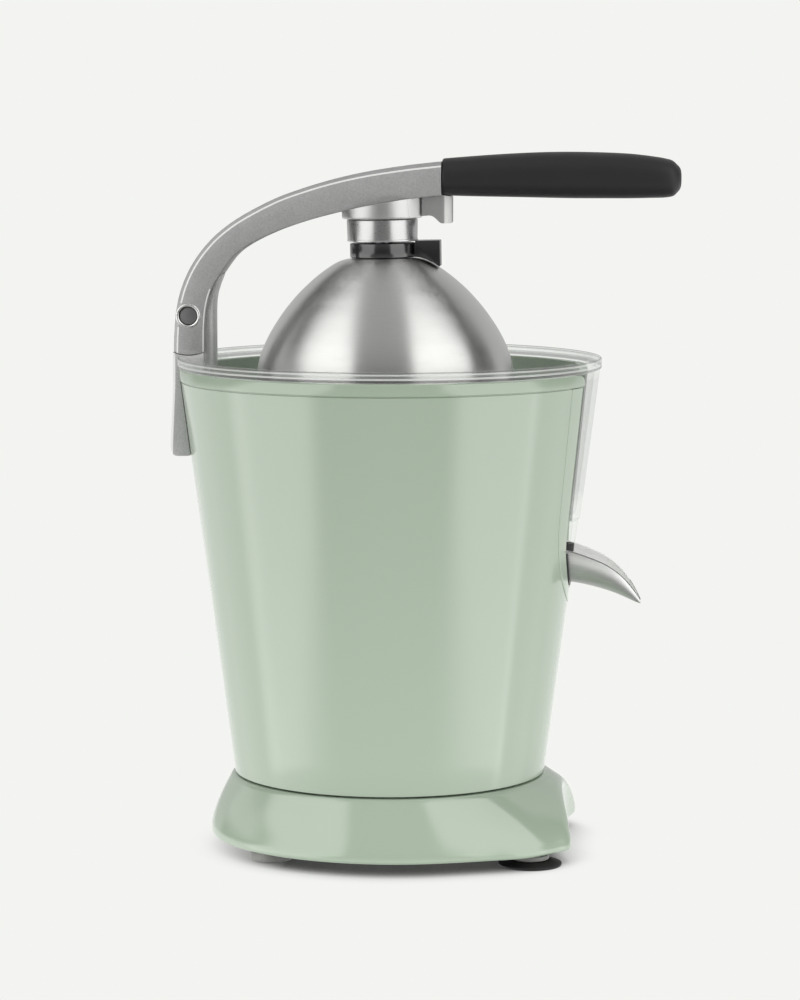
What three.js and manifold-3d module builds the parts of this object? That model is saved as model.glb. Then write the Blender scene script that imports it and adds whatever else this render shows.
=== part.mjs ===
// Electric lever citrus press: a flared, tapered motor body with a clear juice
// bowl on top, a steel press dome hung from a cast lever arm, and a tilting
// steel spout at the front. Millimetres, +Z up, +X towards the spout and grip.
// The working frame has its Z axis on the reamer axis and z = 0 on the table;
// the exported group is shifted so that its origin is under the middle of the
// whole object.
import * as THREE from "three";
import { mergeVertices } from "three/addons/utils/BufferGeometryUtils.js";
import Module from "manifold-3d";

// ---------------------------------------------------------------- dimensions
const SEG = 40; // facets of the large round shells
const CONE_R0 = 75.2; // outer radius of the body at its lower seam
const CONE_Z0 = 35.4; // height of that seam
const CONE_SLOPE = 0.1325; // radius gained per mm of height
const WALL = 3.0; // body shell wall
const RIM_Z = 237; // top of the clear bowl
const RIM_R = 102; // outer radius of the clear bowl's rim
const BAND_Z0 = 225.6; // lower edge of the rim band
const BAND_Z1 = 231.5; // upper edge of the rim band
const BOWL_WALL = 2.4; // clear wall thickness
const BOWL_FLOOR = 160.5; // underside of the bowl floor
const DECK_Z = 150; // underside of the motor deck
const SKIRT_TOP_R = 76; // flared skirt at its top
const SKIRT_BOTTOM_Z = 5.2; // underside of the skirt's lip
const FOOT_R = 9.1;
const REAR_FOOT_R = 10.2;
const REAR_FOOT = [-53, 48];
const FRONT_FOOT = [70.2, 50];
const PIN = [-95.9, 256.8]; // lever pivot, x and z
const PIN_R = 4.1;
const ARM_T = 26; // lever arm thickness across Y
const FORK_Y = 8.6; // half width of the slot between the fork cheeks
const POST_Y = 7.5; // half width of the fixed post in that slot
const HEAD_TILT = (1 * Math.PI) / 180; // press head leans back by this angle
const HEAD_BASE_Z = 203; // height from which its own lengths are measured
const HEAD_BASE_X = -1.78; // where its axis is at that height
const HEAD_TRAVEL = 6; // sprung travel of the press head
const DOME_R = 62.3;
const MODULE = 1.5; // gear module
const PRESSURE = (25 * Math.PI) / 180; // gear pressure angle
const IDLER = [-31.2, 18.0]; // idler axis, 36 mm from the drive shaft
const MOTOR = [-36.93, -14.5]; // motor axis, 33 mm from the idler
const SPOUT_PIVOT = [76, 141]; // x and z of the spout's pivot pin

const wasm = await Module();
wasm.setup();

const coneR = (z) => CONE_R0 + CONE_SLOPE * (z - CONE_Z0);

// ------------------------------------------------------------------- helpers
function bare(geometry) {
  const g = geometry.index ? geometry.toNonIndexed() : geometry.clone();
  return mergeVertices(
    new THREE.BufferGeometry().setAttribute(
      "position",
      g.getAttribute("position"),
    ),
    1e-4,
  );
}

// A closed three.js geometry as a solid. Slivers that collapse to a line where
// a profile meets the axis are dropped, and the faces are turned outwards.
function solid(geometry) {
  const g = bare(geometry);
  const src = g.index.array;
  const tri = [];
  for (let i = 0; i < src.length; i += 3)
    if (
      src[i] !== src[i + 1] &&
      src[i + 1] !== src[i + 2] &&
      src[i] !== src[i + 2]
    )
      tri.push(src[i], src[i + 1], src[i + 2]);
  const make = (t) =>
    new wasm.Manifold(
      new wasm.Mesh({
        numProp: 3,
        vertProperties: new Float32Array(g.attributes.position.array),
        triVerts: new Uint32Array(t),
      }),
    );
  const flipped = () => {
    const t = [...tri];
    for (let i = 0; i < t.length; i += 3) [t[i + 1], t[i + 2]] = [t[i + 2], t[i + 1]];
    return make(t);
  };
  const first = make(tri);
  return first.volume() < 0 ? flipped() : first;
}

function geometryOf(made) {
  const m = made.getMesh();
  const n = m.numProp;
  const v = new Float32Array((m.vertProperties.length / n) * 3);
  for (let i = 0; i < v.length / 3; i++)
    for (let k = 0; k < 3; k++) v[3 * i + k] = m.vertProperties[n * i + k];
  const g = new THREE.BufferGeometry()
    .setAttribute("position", new THREE.BufferAttribute(v, 3))
    .setIndex(new THREE.BufferAttribute(new Uint32Array(m.triVerts), 1));
  const flat = g.toNonIndexed();
  flat.computeVertexNormals();
  return flat;
}

const join = (...s) => s.reduce((a, b) => a.add(b));
const cut = (a, ...s) => s.reduce((x, y) => x.subtract(y), a);

// Turned solid from a closed list of [radius, height].
function turned(profile, seg = SEG) {
  const pts = profile.map(([r, z]) => new THREE.Vector2(r, z));
  pts.push(pts[0].clone());
  return solid(new THREE.LatheGeometry(pts, seg).rotateX(Math.PI / 2));
}

const shapeOf = (pts) =>
  new THREE.Shape(pts.map(([a, b]) => new THREE.Vector2(a, b)));

// Prism of an XZ outline between two Y values, with an optional edge bevel.
function prismY(pts, y0, y1, bevel = 0) {
  const g = new THREE.ExtrudeGeometry(
    shapeOf(pts),
    bevel
      ? {
          depth: y1 - y0 - 2 * bevel,
          bevelEnabled: true,
          bevelThickness: bevel,
          bevelSize: bevel,
          bevelOffset: -bevel,
          bevelSegments: 1,
        }
      : { depth: y1 - y0, bevelEnabled: false },
  );
  return solid(g.rotateX(Math.PI / 2).translate(0, y1 - bevel, 0));
}

// Prism of a YZ outline between two X values.
function prismX(pts, x0, x1) {
  const g = new THREE.ExtrudeGeometry(shapeOf(pts), {
    depth: x1 - x0,
    bevelEnabled: false,
  });
  g.applyMatrix4(
    new THREE.Matrix4().makeBasis(
      new THREE.Vector3(0, 1, 0),
      new THREE.Vector3(0, 0, 1),
      new THREE.Vector3(1, 0, 0),
    ),
  );
  return solid(g.translate(x0, 0, 0));
}

// Prism of an XY outline between two heights.
const prismZ = (pts, z0, z1) =>
  solid(
    new THREE.ExtrudeGeometry(shapeOf(pts), {
      depth: z1 - z0,
      bevelEnabled: false,
    }).translate(0, 0, z0),
  );

const box = (x0, x1, y0, y1, z0, z1) =>
  solid(
    new THREE.BoxGeometry(x1 - x0, y1 - y0, z1 - z0).translate(
      (x0 + x1) / 2,
      (y0 + y1) / 2,
      (z0 + z1) / 2,
    ),
  );

// Cylinder or truncated cone along Z.
const rodZ = (x, y, z0, z1, r0, r1 = r0, seg = 20) =>
  solid(
    new THREE.CylinderGeometry(r1, r0, z1 - z0, seg)
      .rotateX(Math.PI / 2)
      .translate(x, y, (z0 + z1) / 2),
  );

// Cylinder or truncated cone along X, from x0 (radius r0) to x1 (radius r1).
const rodX = (x0, x1, y, z, r0, r1 = r0, seg = 16) =>
  solid(
    new THREE.CylinderGeometry(r1, r0, x1 - x0, seg)
      .rotateZ(-Math.PI / 2)
      .translate((x0 + x1) / 2, y, z),
  );

// Cylinder or truncated cone along Y, from y0 (radius r0) to y1 (radius r1).
const rodY = (y0, y1, x, z, r0, r1 = r0, seg = 20) =>
  solid(
    new THREE.CylinderGeometry(r1, r0, y1 - y0, seg).translate(
      x,
      (y0 + y1) / 2,
      z,
    ),
  );

const mirror = (half) => [
  ...half,
  ...half
    .filter(([y]) => y > 0)
    .map(([y, z]) => [-y, z])
    .reverse(),
];

// Closed skin from loops of points: loops[j][i], joined in both directions.
function skin(loops, wrapLoops) {
  const n = loops[0].length;
  const pos = [];
  const idx = [];
  loops.forEach((l) => l.forEach((p) => pos.push(...p)));
  const at = (j, i) => (j % loops.length) * n + (i % n);
  const last = wrapLoops ? loops.length : loops.length - 1;
  for (let j = 0; j < last; j++)
    for (let i = 0; i < n; i++)
      idx.push(
        at(j, i), at(j, i + 1), at(j + 1, i + 1),
        at(j, i), at(j + 1, i + 1), at(j + 1, i),
      );
  return { pos, idx, n };
}

function skinGeometry({ pos, idx }) {
  return new THREE.BufferGeometry()
    .setAttribute("position", new THREE.Float32BufferAttribute(pos, 3))
    .setIndex(idx);
}

// Solid through a row of convex loops, closed by a fan at each end.
function loft(loops) {
  const s = skin(loops, false);
  const fan = (j, flip) => {
    const l = loops[j];
    const c = [0, 1, 2].map((k) => l.reduce((a, p) => a + p[k], 0) / l.length);
    const ci = s.pos.length / 3;
    s.pos.push(...c);
    for (let i = 0; i < s.n; i++) {
      const a = j * s.n + i;
      const b = j * s.n + ((i + 1) % s.n);
      s.idx.push(...(flip ? [ci, b, a] : [ci, a, b]));
    }
  };
  fan(0, true);
  fan(loops.length - 1, false);
  return solid(skinGeometry(s));
}

function interp(table, x) {
  if (x <= table[0][0]) return table[0][1];
  for (let i = 1; i < table.length; i++)
    if (x <= table[i][0]) {
      const [a, fa] = table[i - 1];
      const [b, fb] = table[i];
      return fa + ((fb - fa) * (x - a)) / (b - a);
    }
  return table[table.length - 1][1];
}

// -------------------------------------------------------------------- finish
const finish = {
  sage: { color: 0xa9c5ab, roughness: 0.22, metalness: 0 },
  clear: { color: 0xe9eee9, roughness: 0.06, metalness: 0, transparent: true, opacity: 0.35 },
  brushed: { color: 0xc4c4c2, roughness: 0.3, metalness: 1 },
  cast: { color: 0xaeafb0, roughness: 0.42, metalness: 1 },
  black: { color: 0x1b1b1c, roughness: 0.45, metalness: 0 },
  rubber: { color: 0x151515, roughness: 0.75, metalness: 0 },
  grey: { color: 0xa3a39f, roughness: 0.5, metalness: 0 },
  nylon: { color: 0xe6e3da, roughness: 0.5, metalness: 0 },
  zinc: { color: 0xb9bcc0, roughness: 0.4, metalness: 1 },
  brass: { color: 0xb28a45, roughness: 0.35, metalness: 1 },
  board: { color: 0x2d6b46, roughness: 0.5, metalness: 0 },
};

const group = new THREE.Group();

function add(name, made, look, parent = group) {
  const mesh = new THREE.Mesh(
    geometryOf(made),
    new THREE.MeshStandardMaterial(finish[look]),
  );
  mesh.name = name;
  parent.add(mesh);
  return mesh;
}

// ------------------------------------------------------------ skirt and feet
// Outline radius of the skirt's lower edge by direction from the front, deg.
const SKIRT_OUTLINE = [
  [0, 113], [20, 106], [28.4, 101.9], [31.2, 100.3], [33.9, 99.6], [40.4, 99],
  [43.4, 97.9], [46.1, 96.2], [49.9, 93.3], [52.9, 90.9], [61, 88.4],
  [65, 87.2], [84, 85.6], [103, 85.0], [125, 85.9], [149, 87.5], [180, 87.6],
];
// Share of the flare reached at each height.
const SKIRT_FLARE = [
  [5.2, 1], [9.9, 0.97], [14.9, 0.84], [20.75, 0.63], [28.1, 0.37],
  [31.5, 0.2], [35.4, 0],
];
// The front is cut back to a shallow concave wall of radius 170.
const NOTCH_C = 254.4;
const NOTCH_R = 170;
function notch(deg) {
  const c = NOTCH_C * Math.cos((deg * Math.PI) / 180);
  const d = c * c - NOTCH_C * NOTCH_C + NOTCH_R * NOTCH_R;
  return c > 0 && d >= 0 ? c - Math.sqrt(d) : 1e3;
}
function skirtR(deg, z) {
  const a = Math.abs(deg);
  const r = SKIRT_TOP_R + interp(SKIRT_FLARE, z) * (interp(SKIRT_OUTLINE, a) - SKIRT_TOP_R);
  return Math.min(r, notch(a));
}
const skirtAngles = [];
{
  const half = [];
  for (let a = 8; a < 180; a += 9.1) half.push(a);
  half.push(28.4, 31.5, 40.2, 49);
  half.sort((a, b) => a - b);
  skirtAngles.push(0, ...half, 180, ...half.map((a) => -a).reverse());
}
const skirtLoop = (z, inset, fixed) =>
  skirtAngles.map((a) => {
    const r = fixed ?? skirtR(a, Math.max(z, 9.9)) - inset;
    const t = (a * Math.PI) / 180;
    return [r * Math.cos(t), r * Math.sin(t), z];
  });
const skirtShell = solid(
  skinGeometry(
    skin(
      [
        skirtLoop(SKIRT_BOTTOM_Z, 4.4),
        skirtLoop(6, 1.7),
        skirtLoop(8.2, 0.3),
        skirtLoop(14.9, 0),
        skirtLoop(21.5, 0),
        skirtLoop(28.1, 0),
        skirtLoop(35.1, 0, SKIRT_TOP_R),
        skirtLoop(35.1, 0, 69),
        skirtLoop(32.6, 0, 69),
        skirtLoop(28.1, 3.4),
        skirtLoop(9.8, 3.4),
        skirtLoop(SKIRT_BOTTOM_Z, 5.2),
      ],
      true,
    ),
  ),
);
const gland = join(
  cut(rodX(-79.6, -74.4, 0, 20, 6, 6, 20), rodX(-92, -72, 0, 20, 3.2, 3.2, 16)),
  cut(rodX(-77, -74.2, 0, 20, 7.2, 7.2, 20), rodX(-92, -72, 0, 20, 3.2, 3.2, 16)),
);
add("base_skirt", cut(skirtShell, rodX(-95, -70, 0, 20, 6.3, 6.3, 20)), "sage");
add("cord_gland", gland, "rubber");

const plateOutline = skirtAngles.map((a) => {
  const r = skirtR(a, 9.9) - 6.4;
  const t = (a * Math.PI) / 180;
  return [r * Math.cos(t), r * Math.sin(t)];
});
add("base_plate", prismZ(plateOutline, 6.9, 9.9), "black");

for (const [side, s] of [["left", 1], ["right", -1]]) {
  const [rx, ry] = [REAR_FOOT[0], REAR_FOOT[1] * s];
  const [fx, fy] = [FRONT_FOOT[0], FRONT_FOOT[1] * s];
  // Wide disc below the skirt's lip, a neck above it, a socket for the pad.
  add(
    "rear_foot_" + side,
    cut(
      join(rodZ(rx, ry, 0.5, 5, REAR_FOOT_R), rodZ(rx, ry, 4.6, 6.6, 6.4)),
      rodZ(rx, ry, 0, 1.6, 8.6),
    ),
    "grey",
  );
  add("rear_pad_" + side, rodZ(rx, ry, 0, 1.4, 8.2), "rubber");
  add(
    "front_foot_" + side,
    join(rodZ(fx, fy, 2.9, 4.9, FOOT_R), rodZ(fx, fy, 4.5, 6.6, 6.4)),
    "grey",
  );
  const cup = turned(
    [[0, 2.6], [8.4, 2.6], [11.3, 2.1], [15.5, 1], [15.5, 0], [12.7, 0], [8, 0.9], [0, 1.2]],
    20,
  );
  add("suction_cup_" + side, cup.translate([fx, fy, 0]), "rubber");
}

// ---------------------------------------------------------------- body shell
// Front opening: outer edge of the bezel and inner edge of the recess.
const U_OUT = mirror([
  [0, 119.4], [5, 120], [10.2, 121.7], [18, 125.7], [25.2, 131.5], [29.5, 136.9],
  [32.8, 142.1], [35.4, 147.2], [37.1, 152.8], [38.7, 161.9], [42.3, 193],
  [45.5, 223], [46, 231],
]);
const U_IN = mirror([
  [0, 127.6], [5, 128.1], [9, 129.5], [13, 131.8], [16.4, 134.9], [21.2, 140.5],
  [25.6, 147.6], [26.9, 151.5], [28, 156.5], [31.5, 193], [34.6, 225], [34.9, 231],
]);
// The same outline grown or shrunk by moving each point along its normal.
function grown(pts, d) {
  const n = pts.length;
  return pts.map((p, i) => {
    const a = pts[(i + n - 1) % n];
    const b = pts[(i + 1) % n];
    const t = [b[0] - a[0], b[1] - a[1]];
    const l = Math.hypot(...t) || 1;
    return [p[0] + (d * t[1]) / l, p[1] - (d * t[0]) / l];
  });
}
const below = (z) => box(-200, 200, -200, 200, -10, z);
const above = (z) => box(-200, 200, -200, 200, z, 400);
const trunk = (z0, z1, off, seg = SEG) =>
  turned([[0, z0], [coneR(z0) + off, z0], [coneR(z1) + off, z1], [0, z1]], seg);

// Tapered wall with a slightly raised band round its rim. The band is open at
// the front and notched at the back for the lever bracket.
const shellWall = turned([
  [coneR(36.1), 36.1], [coneR(BAND_Z0), BAND_Z0], [coneR(BAND_Z0) + 0.5, BAND_Z0 + 0.4],
  [101.5, BAND_Z1], [97.3, BAND_Z1], [97.3, BAND_Z0], [coneR(42) - WALL, 42],
  [66, 39.4], [66, 36.1],
]);
const screwZ = [200, 214];
add(
  "body_shell",
  cut(
    shellWall,
    prismX(grown(U_OUT, 0.25), 40, 130).intersect(below(BAND_Z0)),
    prismX(
      mirror([[0, 224], [35.4, 224], [35.4, 228.8], [36.1, 230.4], [37.6, 231.3], [39.4, 231.6], [39.4, 233]]),
      50, 130,
    ),
    box(-130, -60, -13.4, 13.4, 225.7, 240),
    ...screwZ.map((z) => rodX(-110, -80, 0, z, 2.35, 2.35, 12)),
  ),
  "sage",
);

// Frame round the front opening, flush with the body.
add(
  "front_bezel",
  cut(
    trunk(112, 225.3, 0.15)
      .subtract(trunk(110, 227, -WALL))
      .intersect(prismX(U_OUT, 40, 130)),
    prismX(U_IN, 30, 140),
  ),
  "sage",
);

// Tub behind the bezel that carries the spout, open to the front.
const tubOut = prismX(grown(U_IN, 2), 66, 130);
const tubIn = prismX(U_IN, 68, 140);
const pivotBoss = (s) =>
  cut(
    rodY(Math.min(s * 19.8, s * 25), Math.max(s * 19.8, s * 25), SPOUT_PIVOT[0], SPOUT_PIVOT[1], 3.2, 3.2, 16),
  );
const tub = join(
  cut(
    tubOut.intersect(below(154.5)).intersect(trunk(100, 160, -WALL - 0.6)),
    tubIn,
  ),
  pivotBoss(1),
  pivotBoss(-1),
);
add(
  "spout_recess",
  cut(tub, rodY(-24.4, 24.4, SPOUT_PIVOT[0], SPOUT_PIVOT[1], 1.8, 1.8, 12)),
  "sage",
);

// Deck over the motor, with three bosses down to the gearbox.
const PILLARS = [[28, -24], [28, 24], [-55, -2]];
const deck = cut(
  join(
    trunk(DECK_Z, DECK_Z + 3, -WALL - 0.5),
    ...PILLARS.map(([x, y]) => rodZ(x, y, 136.4, DECK_Z + 1, 5, 5, 16)),
  ),
  rodZ(0, 0, 140, 160, 7.3),
  box(65.6, 120, -32.5, 32.5, 140, 160),
);
add("motor_deck", deck, "sage");

// ------------------------------------------------------------ bowl and sieve
const bowlProfile = [
  [RIM_R, 231.9], [RIM_R, RIM_Z], [97.2, RIM_Z], [96.6, 234.4], [94.6, 231.4],
  [93.6, 226], [coneR(167) - 4.4 - BOWL_WALL, 167.5], [82, 163], [9, 163],
  [9, 192], [6.5, 192], [6.5, BOWL_FLOOR], [84, BOWL_FLOOR],
  [coneR(166) - 4.4, 166], [coneR(225) - 4.4, 225], [96.7, 231.9],
];
const bowlOuter = turned([
  [0, BOWL_FLOOR], [84, BOWL_FLOOR], [coneR(166) - 4.4, 166],
  [coneR(225) - 4.4, 225], [96.7, 231.9], [RIM_R, 231.9], [RIM_R, RIM_Z],
  [0, RIM_Z],
]);
const apronR = (z) => RIM_R - 0.1273 * (RIM_Z - z);
const apronSolid = (off) =>
  turned([[0, 155], [apronR(155) + off, 155], [apronR(RIM_Z) + off, RIM_Z], [0, RIM_Z]]);
const APRON = mirror([
  [0, 160], [24.6, 160], [27, 161.3], [28.1, 164], [31, 193], [34, 225], [35.2, RIM_Z],
]);
const apronIn = grown(APRON, -BOWL_WALL);
const apronBlock = prismX(APRON, 72, 120).intersect(apronSolid(0));
const NOZZLE = 83; // x of the outlet nozzle
let bowl = turned(bowlProfile);
// Front wall of the bowl swung out through the body to the outside.
bowl = bowl.add(apronBlock.intersect(below(231.95)));
bowl = bowl.subtract(
  prismX(apronIn, 60, 130)
    .intersect(apronSolid(-BOWL_WALL))
    .intersect(box(70, 110, -60, 60, 162.9, 229.5)),
);
bowl = bowl.subtract(
  turned([[0, 229], [93.9, 229], [94.6, 231.4], [96.6, 234.4], [97.2, 240], [0, 240]])
    .intersect(box(68, 110, -60, 60, 229.4, 240)),
);
// The rim is only a thin flange over the front channel.
bowl = bowl.subtract(
  prismX(apronIn, 60, 130)
    .intersect(apronSolid(-BOWL_WALL))
    .intersect(box(70, 110, -60, 60, 229.3, 235.8)),
);
// Pocket at the back for the lever bracket.
bowl = bowl.add(
  box(-110, -80.7, -19.4, 19.4, BOWL_FLOOR, RIM_Z).intersect(bowlOuter),
);
bowl = bowl.subtract(box(-120, -83.1, -17, 17, 150, 250));
// Outlet nozzle.
bowl = bowl.add(rodZ(NOZZLE, 0, 147.4, 161.5, 6.6, 8.6, 20));
bowl = bowl.subtract(rodZ(NOZZLE, 0, 146, 165, 4.7, 6.0, 20));
add("juice_bowl", bowl, "clear");
add(
  "nozzle_seal",
  cut(rodZ(NOZZLE, 0, 143.3, 147.1, 6.0, 6.4, 20), rodZ(NOZZLE, 0, 140, 150, 4.4, 4.4, 16)),
  "rubber",
);

add(
  "pulp_strainer",
  turned(
    [[57.6, 208], [60, 208], [60, 206.6], [58.8, 206.2], [48, 175], [12.8, 175],
      [12.8, 181], [14, 181], [14, 176.2], [47, 176.2]],
    32,
  ),
  "brushed",
);

// -------------------------------------------------------------- drive train
// Involute gear outline: N teeth of the given module, thinned for running.
function gearOutline(n, phase, thin = 0.06) {
  const rp = (n * MODULE) / 2;
  const rb = rp * Math.cos(PRESSURE);
  const rt = rp + MODULE * 0.95;
  const rr = rp - MODULE * 1.2;
  const inv = (a) => Math.tan(a) - a;
  const half = (r) =>
    Math.PI / (2 * n) + inv(PRESSURE) - inv(Math.acos(Math.min(1, rb / r))) - thin / rp;
  const undercut = rb > rr + 0.1; // the involute ends above the root circle
  const start = Math.max(rb * 1.0005, rr);
  const radii = n > 20 ? [start, rt] : [start, rp, rt];
  const pts = [];
  for (let i = 0; i < n; i++) {
    const c = phase + (2 * Math.PI * i) / n;
    const put = (r, a) => pts.push([r * Math.cos(c + a), r * Math.sin(c + a)]);
    if (undercut) put(rr, -half(radii[0]) - 0.02);
    radii.forEach((r) => put(r, -half(r)));
    [...radii].reverse().forEach((r) => put(r, half(r)));
    if (undercut) put(rr, half(radii[0]) + 0.02);
  }
  return pts;
}
const gear = (n, phase, x, y, z0, z1) =>
  prismZ(gearOutline(n, phase), z0, z1).translate([x, y, 0]);
const toIdler = Math.atan2(IDLER[1], IDLER[0]);
const toMotor = Math.atan2(MOTOR[1] - IDLER[1], MOTOR[0] - IDLER[0]);

add(
  "drive_shaft",
  cut(rodZ(0, 0, 97.4, 229.6, 4), rodZ(0, 0, 90, 240, 2.1, 2.1, 12)),
  "zinc",
);
add(
  "output_gear",
  cut(
    join(gear(36, toIdler, 0, 0, 118, 128), rodZ(0, 0, 112, 118.5, 8)),
    rodZ(0, 0, 100, 140, 4.3),
  ),
  "nylon",
);
add(
  "idler_gear",
  cut(
    join(
      gear(12, toIdler + Math.PI + Math.PI / 12, ...IDLER, 116.5, 129.5),
      gear(32, toMotor, ...IDLER, 104, 112),
      rodZ(...IDLER, 111.5, 117, 6.6),
    ),
    rodZ(...IDLER, 100, 140, 3.3),
  ),
  "nylon",
);
add("idler_axle", rodZ(...IDLER, 97.4, 135.6, 3), "zinc");
add(
  "motor_pinion",
  cut(
    gear(12, toMotor + Math.PI + Math.PI / 12, ...MOTOR, 103, 113),
    rodZ(...MOTOR, 90, 120, 2.8, 2.8, 16),
  ),
  "brass",
);
add("motor_shaft", rodZ(...MOTOR, 59, 114.5, 2.5, 2.5, 16), "zinc");
add(
  "motor_can",
  cut(
    join(rodZ(...MOTOR, 46, 93, 28, 28, 24), rodZ(...MOTOR, 40.5, 46.2, 12, 12, 20), rodZ(...MOTOR, 92.8, 96.6, 14, 14, 20)),
    rodZ(...MOTOR, 58, 100, 3, 3, 16),
  ),
  "zinc",
);
const gearPlate = (z0, z1, holes) =>
  cut(
    rodZ(-12, 0, z0, z1, 52, 52, 28),
    ...holes.map(([x, y, r]) => rodZ(x, y, z0 - 1, z1 + 1, r, r, 20)),
  );
add(
  "gearbox_lower_plate",
  gearPlate(97, 100, [[0, 0, 4.3], [...IDLER, 3.3], [...MOTOR, 5]]),
  "zinc",
);
add(
  "gearbox_upper_plate",
  gearPlate(133, 136, [[0, 0, 4.3], [...IDLER, 3.3]]),
  "zinc",
);
PILLARS.forEach(([x, y], i) =>
  add("gearbox_pillar_" + (i + 1), rodZ(x, y, 100.3, 132.7, 4, 4, 12), "zinc"),
);
add(
  "shaft_bush",
  cut(
    join(rodZ(0, 0, 148, 153.5, 6.9), rodZ(0, 0, 153.3, 155, 9.2)),
    rodZ(0, 0, 140, 160, 4.3),
  ),
  "brass",
);
add(
  "shaft_seal",
  cut(rodZ(0, 0, 155.3, 158.8, 6.6, 5.4), rodZ(0, 0, 150, 162, 4.35)),
  "rubber",
);

// Ribbed reamer cone on top of the shaft.
{
  const N = 30;
  const table = [
    // height, radius, rib depth
    [185, 37.5, 0], [187.2, 38, 0], [189, 36, 0.4], [198, 33, 2.2], [212, 27.6, 2.6],
    [226, 20.8, 2.4], [240, 11.2, 1.6], [248, 4.4, 0.6], [250.5, 1.4, 0],
  ];
  const loops = table.map(([z, r, d]) =>
    Array.from({ length: N }, (_, i) => {
      const t = (2 * Math.PI * i) / N;
      const q = r - d * (0.5 - 0.5 * Math.cos(10 * t));
      return [q * Math.cos(t), q * Math.sin(t), z];
    }),
  );
  const hollow = turned(
    [[0, 180], [34, 180], [34, 188], [30, 196], [22.4, 211], [13, 227], [8, 227], [8, 196.2], [0, 196.2]],
    30,
  );
  add("reamer", cut(loft(loops), hollow, rodZ(0, 0, 190, 233, 4.3)), "brushed");
}
add("switch_push_rod", rodZ(0, 0, 94.2, 232.6, 1.6, 1.6, 8), "zinc");
add(
  "micro_switch",
  join(box(-10, 10, -3.2, 3.2, 79, 89), box(-2, 3, -1.8, 1.8, 88.8, 91.2)),
  "black",
);
add(
  "circuit_board",
  join(box(52, 53.6, -18, 18, 58, 92), box(46, 52.2, -12, 8, 62, 80)),
  "board",
);

// -------------------------------------------------------- bracket and pivot
const bracketTop = [];
for (let a = 293; a >= 246.7; a -= 9.26) {
  const t = (a * Math.PI) / 180;
  bracketTop.push([PIN[0] + 19 * Math.cos(t), PIN[1] + 19 * Math.sin(t)]);
}
const bracketSide = [
  ...bracketTop, [-103.5, 224], [-104.9, 193.2], [-104.2, 190.6], [-102, 189.4],
  [-97.4, 189.4], [-90, 190.6], [-90, 226], [-88.5, 226],
];
// Post between the cheeks, with the thin stop on which the arm's web rests.
const postSide = [
  [-101, 232], [-83.9, 232], [-83.9, 263.4], [-83.2, 267.6], [-82, 271.4],
  [-80.9, 274.2], [-80.1, 276.2], [-80.4, 276.5], [-81.7, 274.7], [-83.3, 272.3],
  [-85.2, 267.6], [-86.8, 265], [-90.2, 268.2], [-94, 269.4], [-98, 267.2],
  [-101, 262.4],
];
add(
  "lever_bracket",
  cut(
    join(
      cut(
        prismY(bracketSide, -13, 13),
        trunk(150, 225.75, 0.35),
      ),
      prismY(postSide, -POST_Y, POST_Y),
    ),
    rodY(-20, 20, ...PIN, PIN_R + 0.25),
    ...screwZ.map((z) => rodX(-101.4, -80, 0, z, 2.3, 2.3, 12)),
  ),
  "cast",
);
add(
  "bracket_backing_plate",
  cut(
    box(-91.6, -89.9, -12, 12, 193, 221),
    ...screwZ.map((z) => rodX(-95, -80, 0, z, 2.35, 2.35, 12)),
  ),
  "zinc",
);
screwZ.forEach((z, i) =>
  add(
    "bracket_screw_" + (i + 1),
    join(rodX(-101, -89.4, 0, z, 2, 2, 12), rodX(-89.6, -87, 0, z, 3.9, 3.9, 12)),
    "zinc",
  ),
);
add("hinge_pin", rodY(-12, 12, ...PIN, PIN_R), "zinc");
for (const [side, s] of [["left", 1], ["right", -1]]) {
  const [a, b] = [s * 7.8, s * 8.3];
  add(
    "hinge_washer_" + side,
    cut(rodY(Math.min(a, b), Math.max(a, b), ...PIN, 6.3, 6.3, 14), rodY(-10, 10, ...PIN, PIN_R + 0.4, PIN_R + 0.4, 14)),
    "nylon",
  );
}

// ----------------------------------------------------------------- lever arm
const outerEdge = [
  [25.4, 330.4], [8.3, 328.5], [-13.1, 325.1], [-29.4, 321.3], [-42.1, 317.4],
  [-52.1, 313.8], [-60.4, 309.9], [-67.5, 306.1], [-73.7, 302.4], [-78.9, 298.6],
  [-83.3, 294.9], [-87, 291], [-90.2, 287.2], [-92.8, 283.4], [-95.1, 279.7],
  [-98.6, 272], [-100.9, 264.4], [-102.2, 256.8], [-102.7, 250.6], [-103, 245],
];
const innerEdge = [
  [-88.2, 244], [-88.1, 249.3], [-87.8, 255.3], [-87, 261.7], [-85.7, 267.1],
  [-83.9, 271.9], [-82.3, 274.3], [-78.3, 279.8], [-74.9, 284.4], [-71.5, 287.6],
  [-65.9, 291.2], [-58.6, 294.9], [-48.6, 299], [-37.6, 302.7], [-27, 305.6],
  [-12.3, 309], [3.7, 311.9], [14, 313.3], [25.4, 314.4],
];
const cheekEnd = [];
for (let a = 247.7; a <= 294.5; a += 9.3) {
  const t = (a * Math.PI) / 180;
  cheekEnd.push([PIN[0] + 18.6 * Math.cos(t), PIN[1] + 18.6 * Math.sin(t)]);
}
const armSide = [...outerEdge, ...cheekEnd, ...innerEdge];
const slot = [
  [-115, 235], [-70, 235], [-70, 262], [-81.5, 262], [-84, 266.5], [-88, 270.2],
  [-93, 271.9], [-99, 271.2], [-110, 268],
];
const headX = (z) => HEAD_BASE_X - Math.tan(HEAD_TILT) * (z - HEAD_BASE_Z);
const tilt = (s) =>
  s
    .rotate([0, (-HEAD_TILT * 180) / Math.PI, 0])
    .translate([HEAD_BASE_X, 0, HEAD_BASE_Z]);
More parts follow.
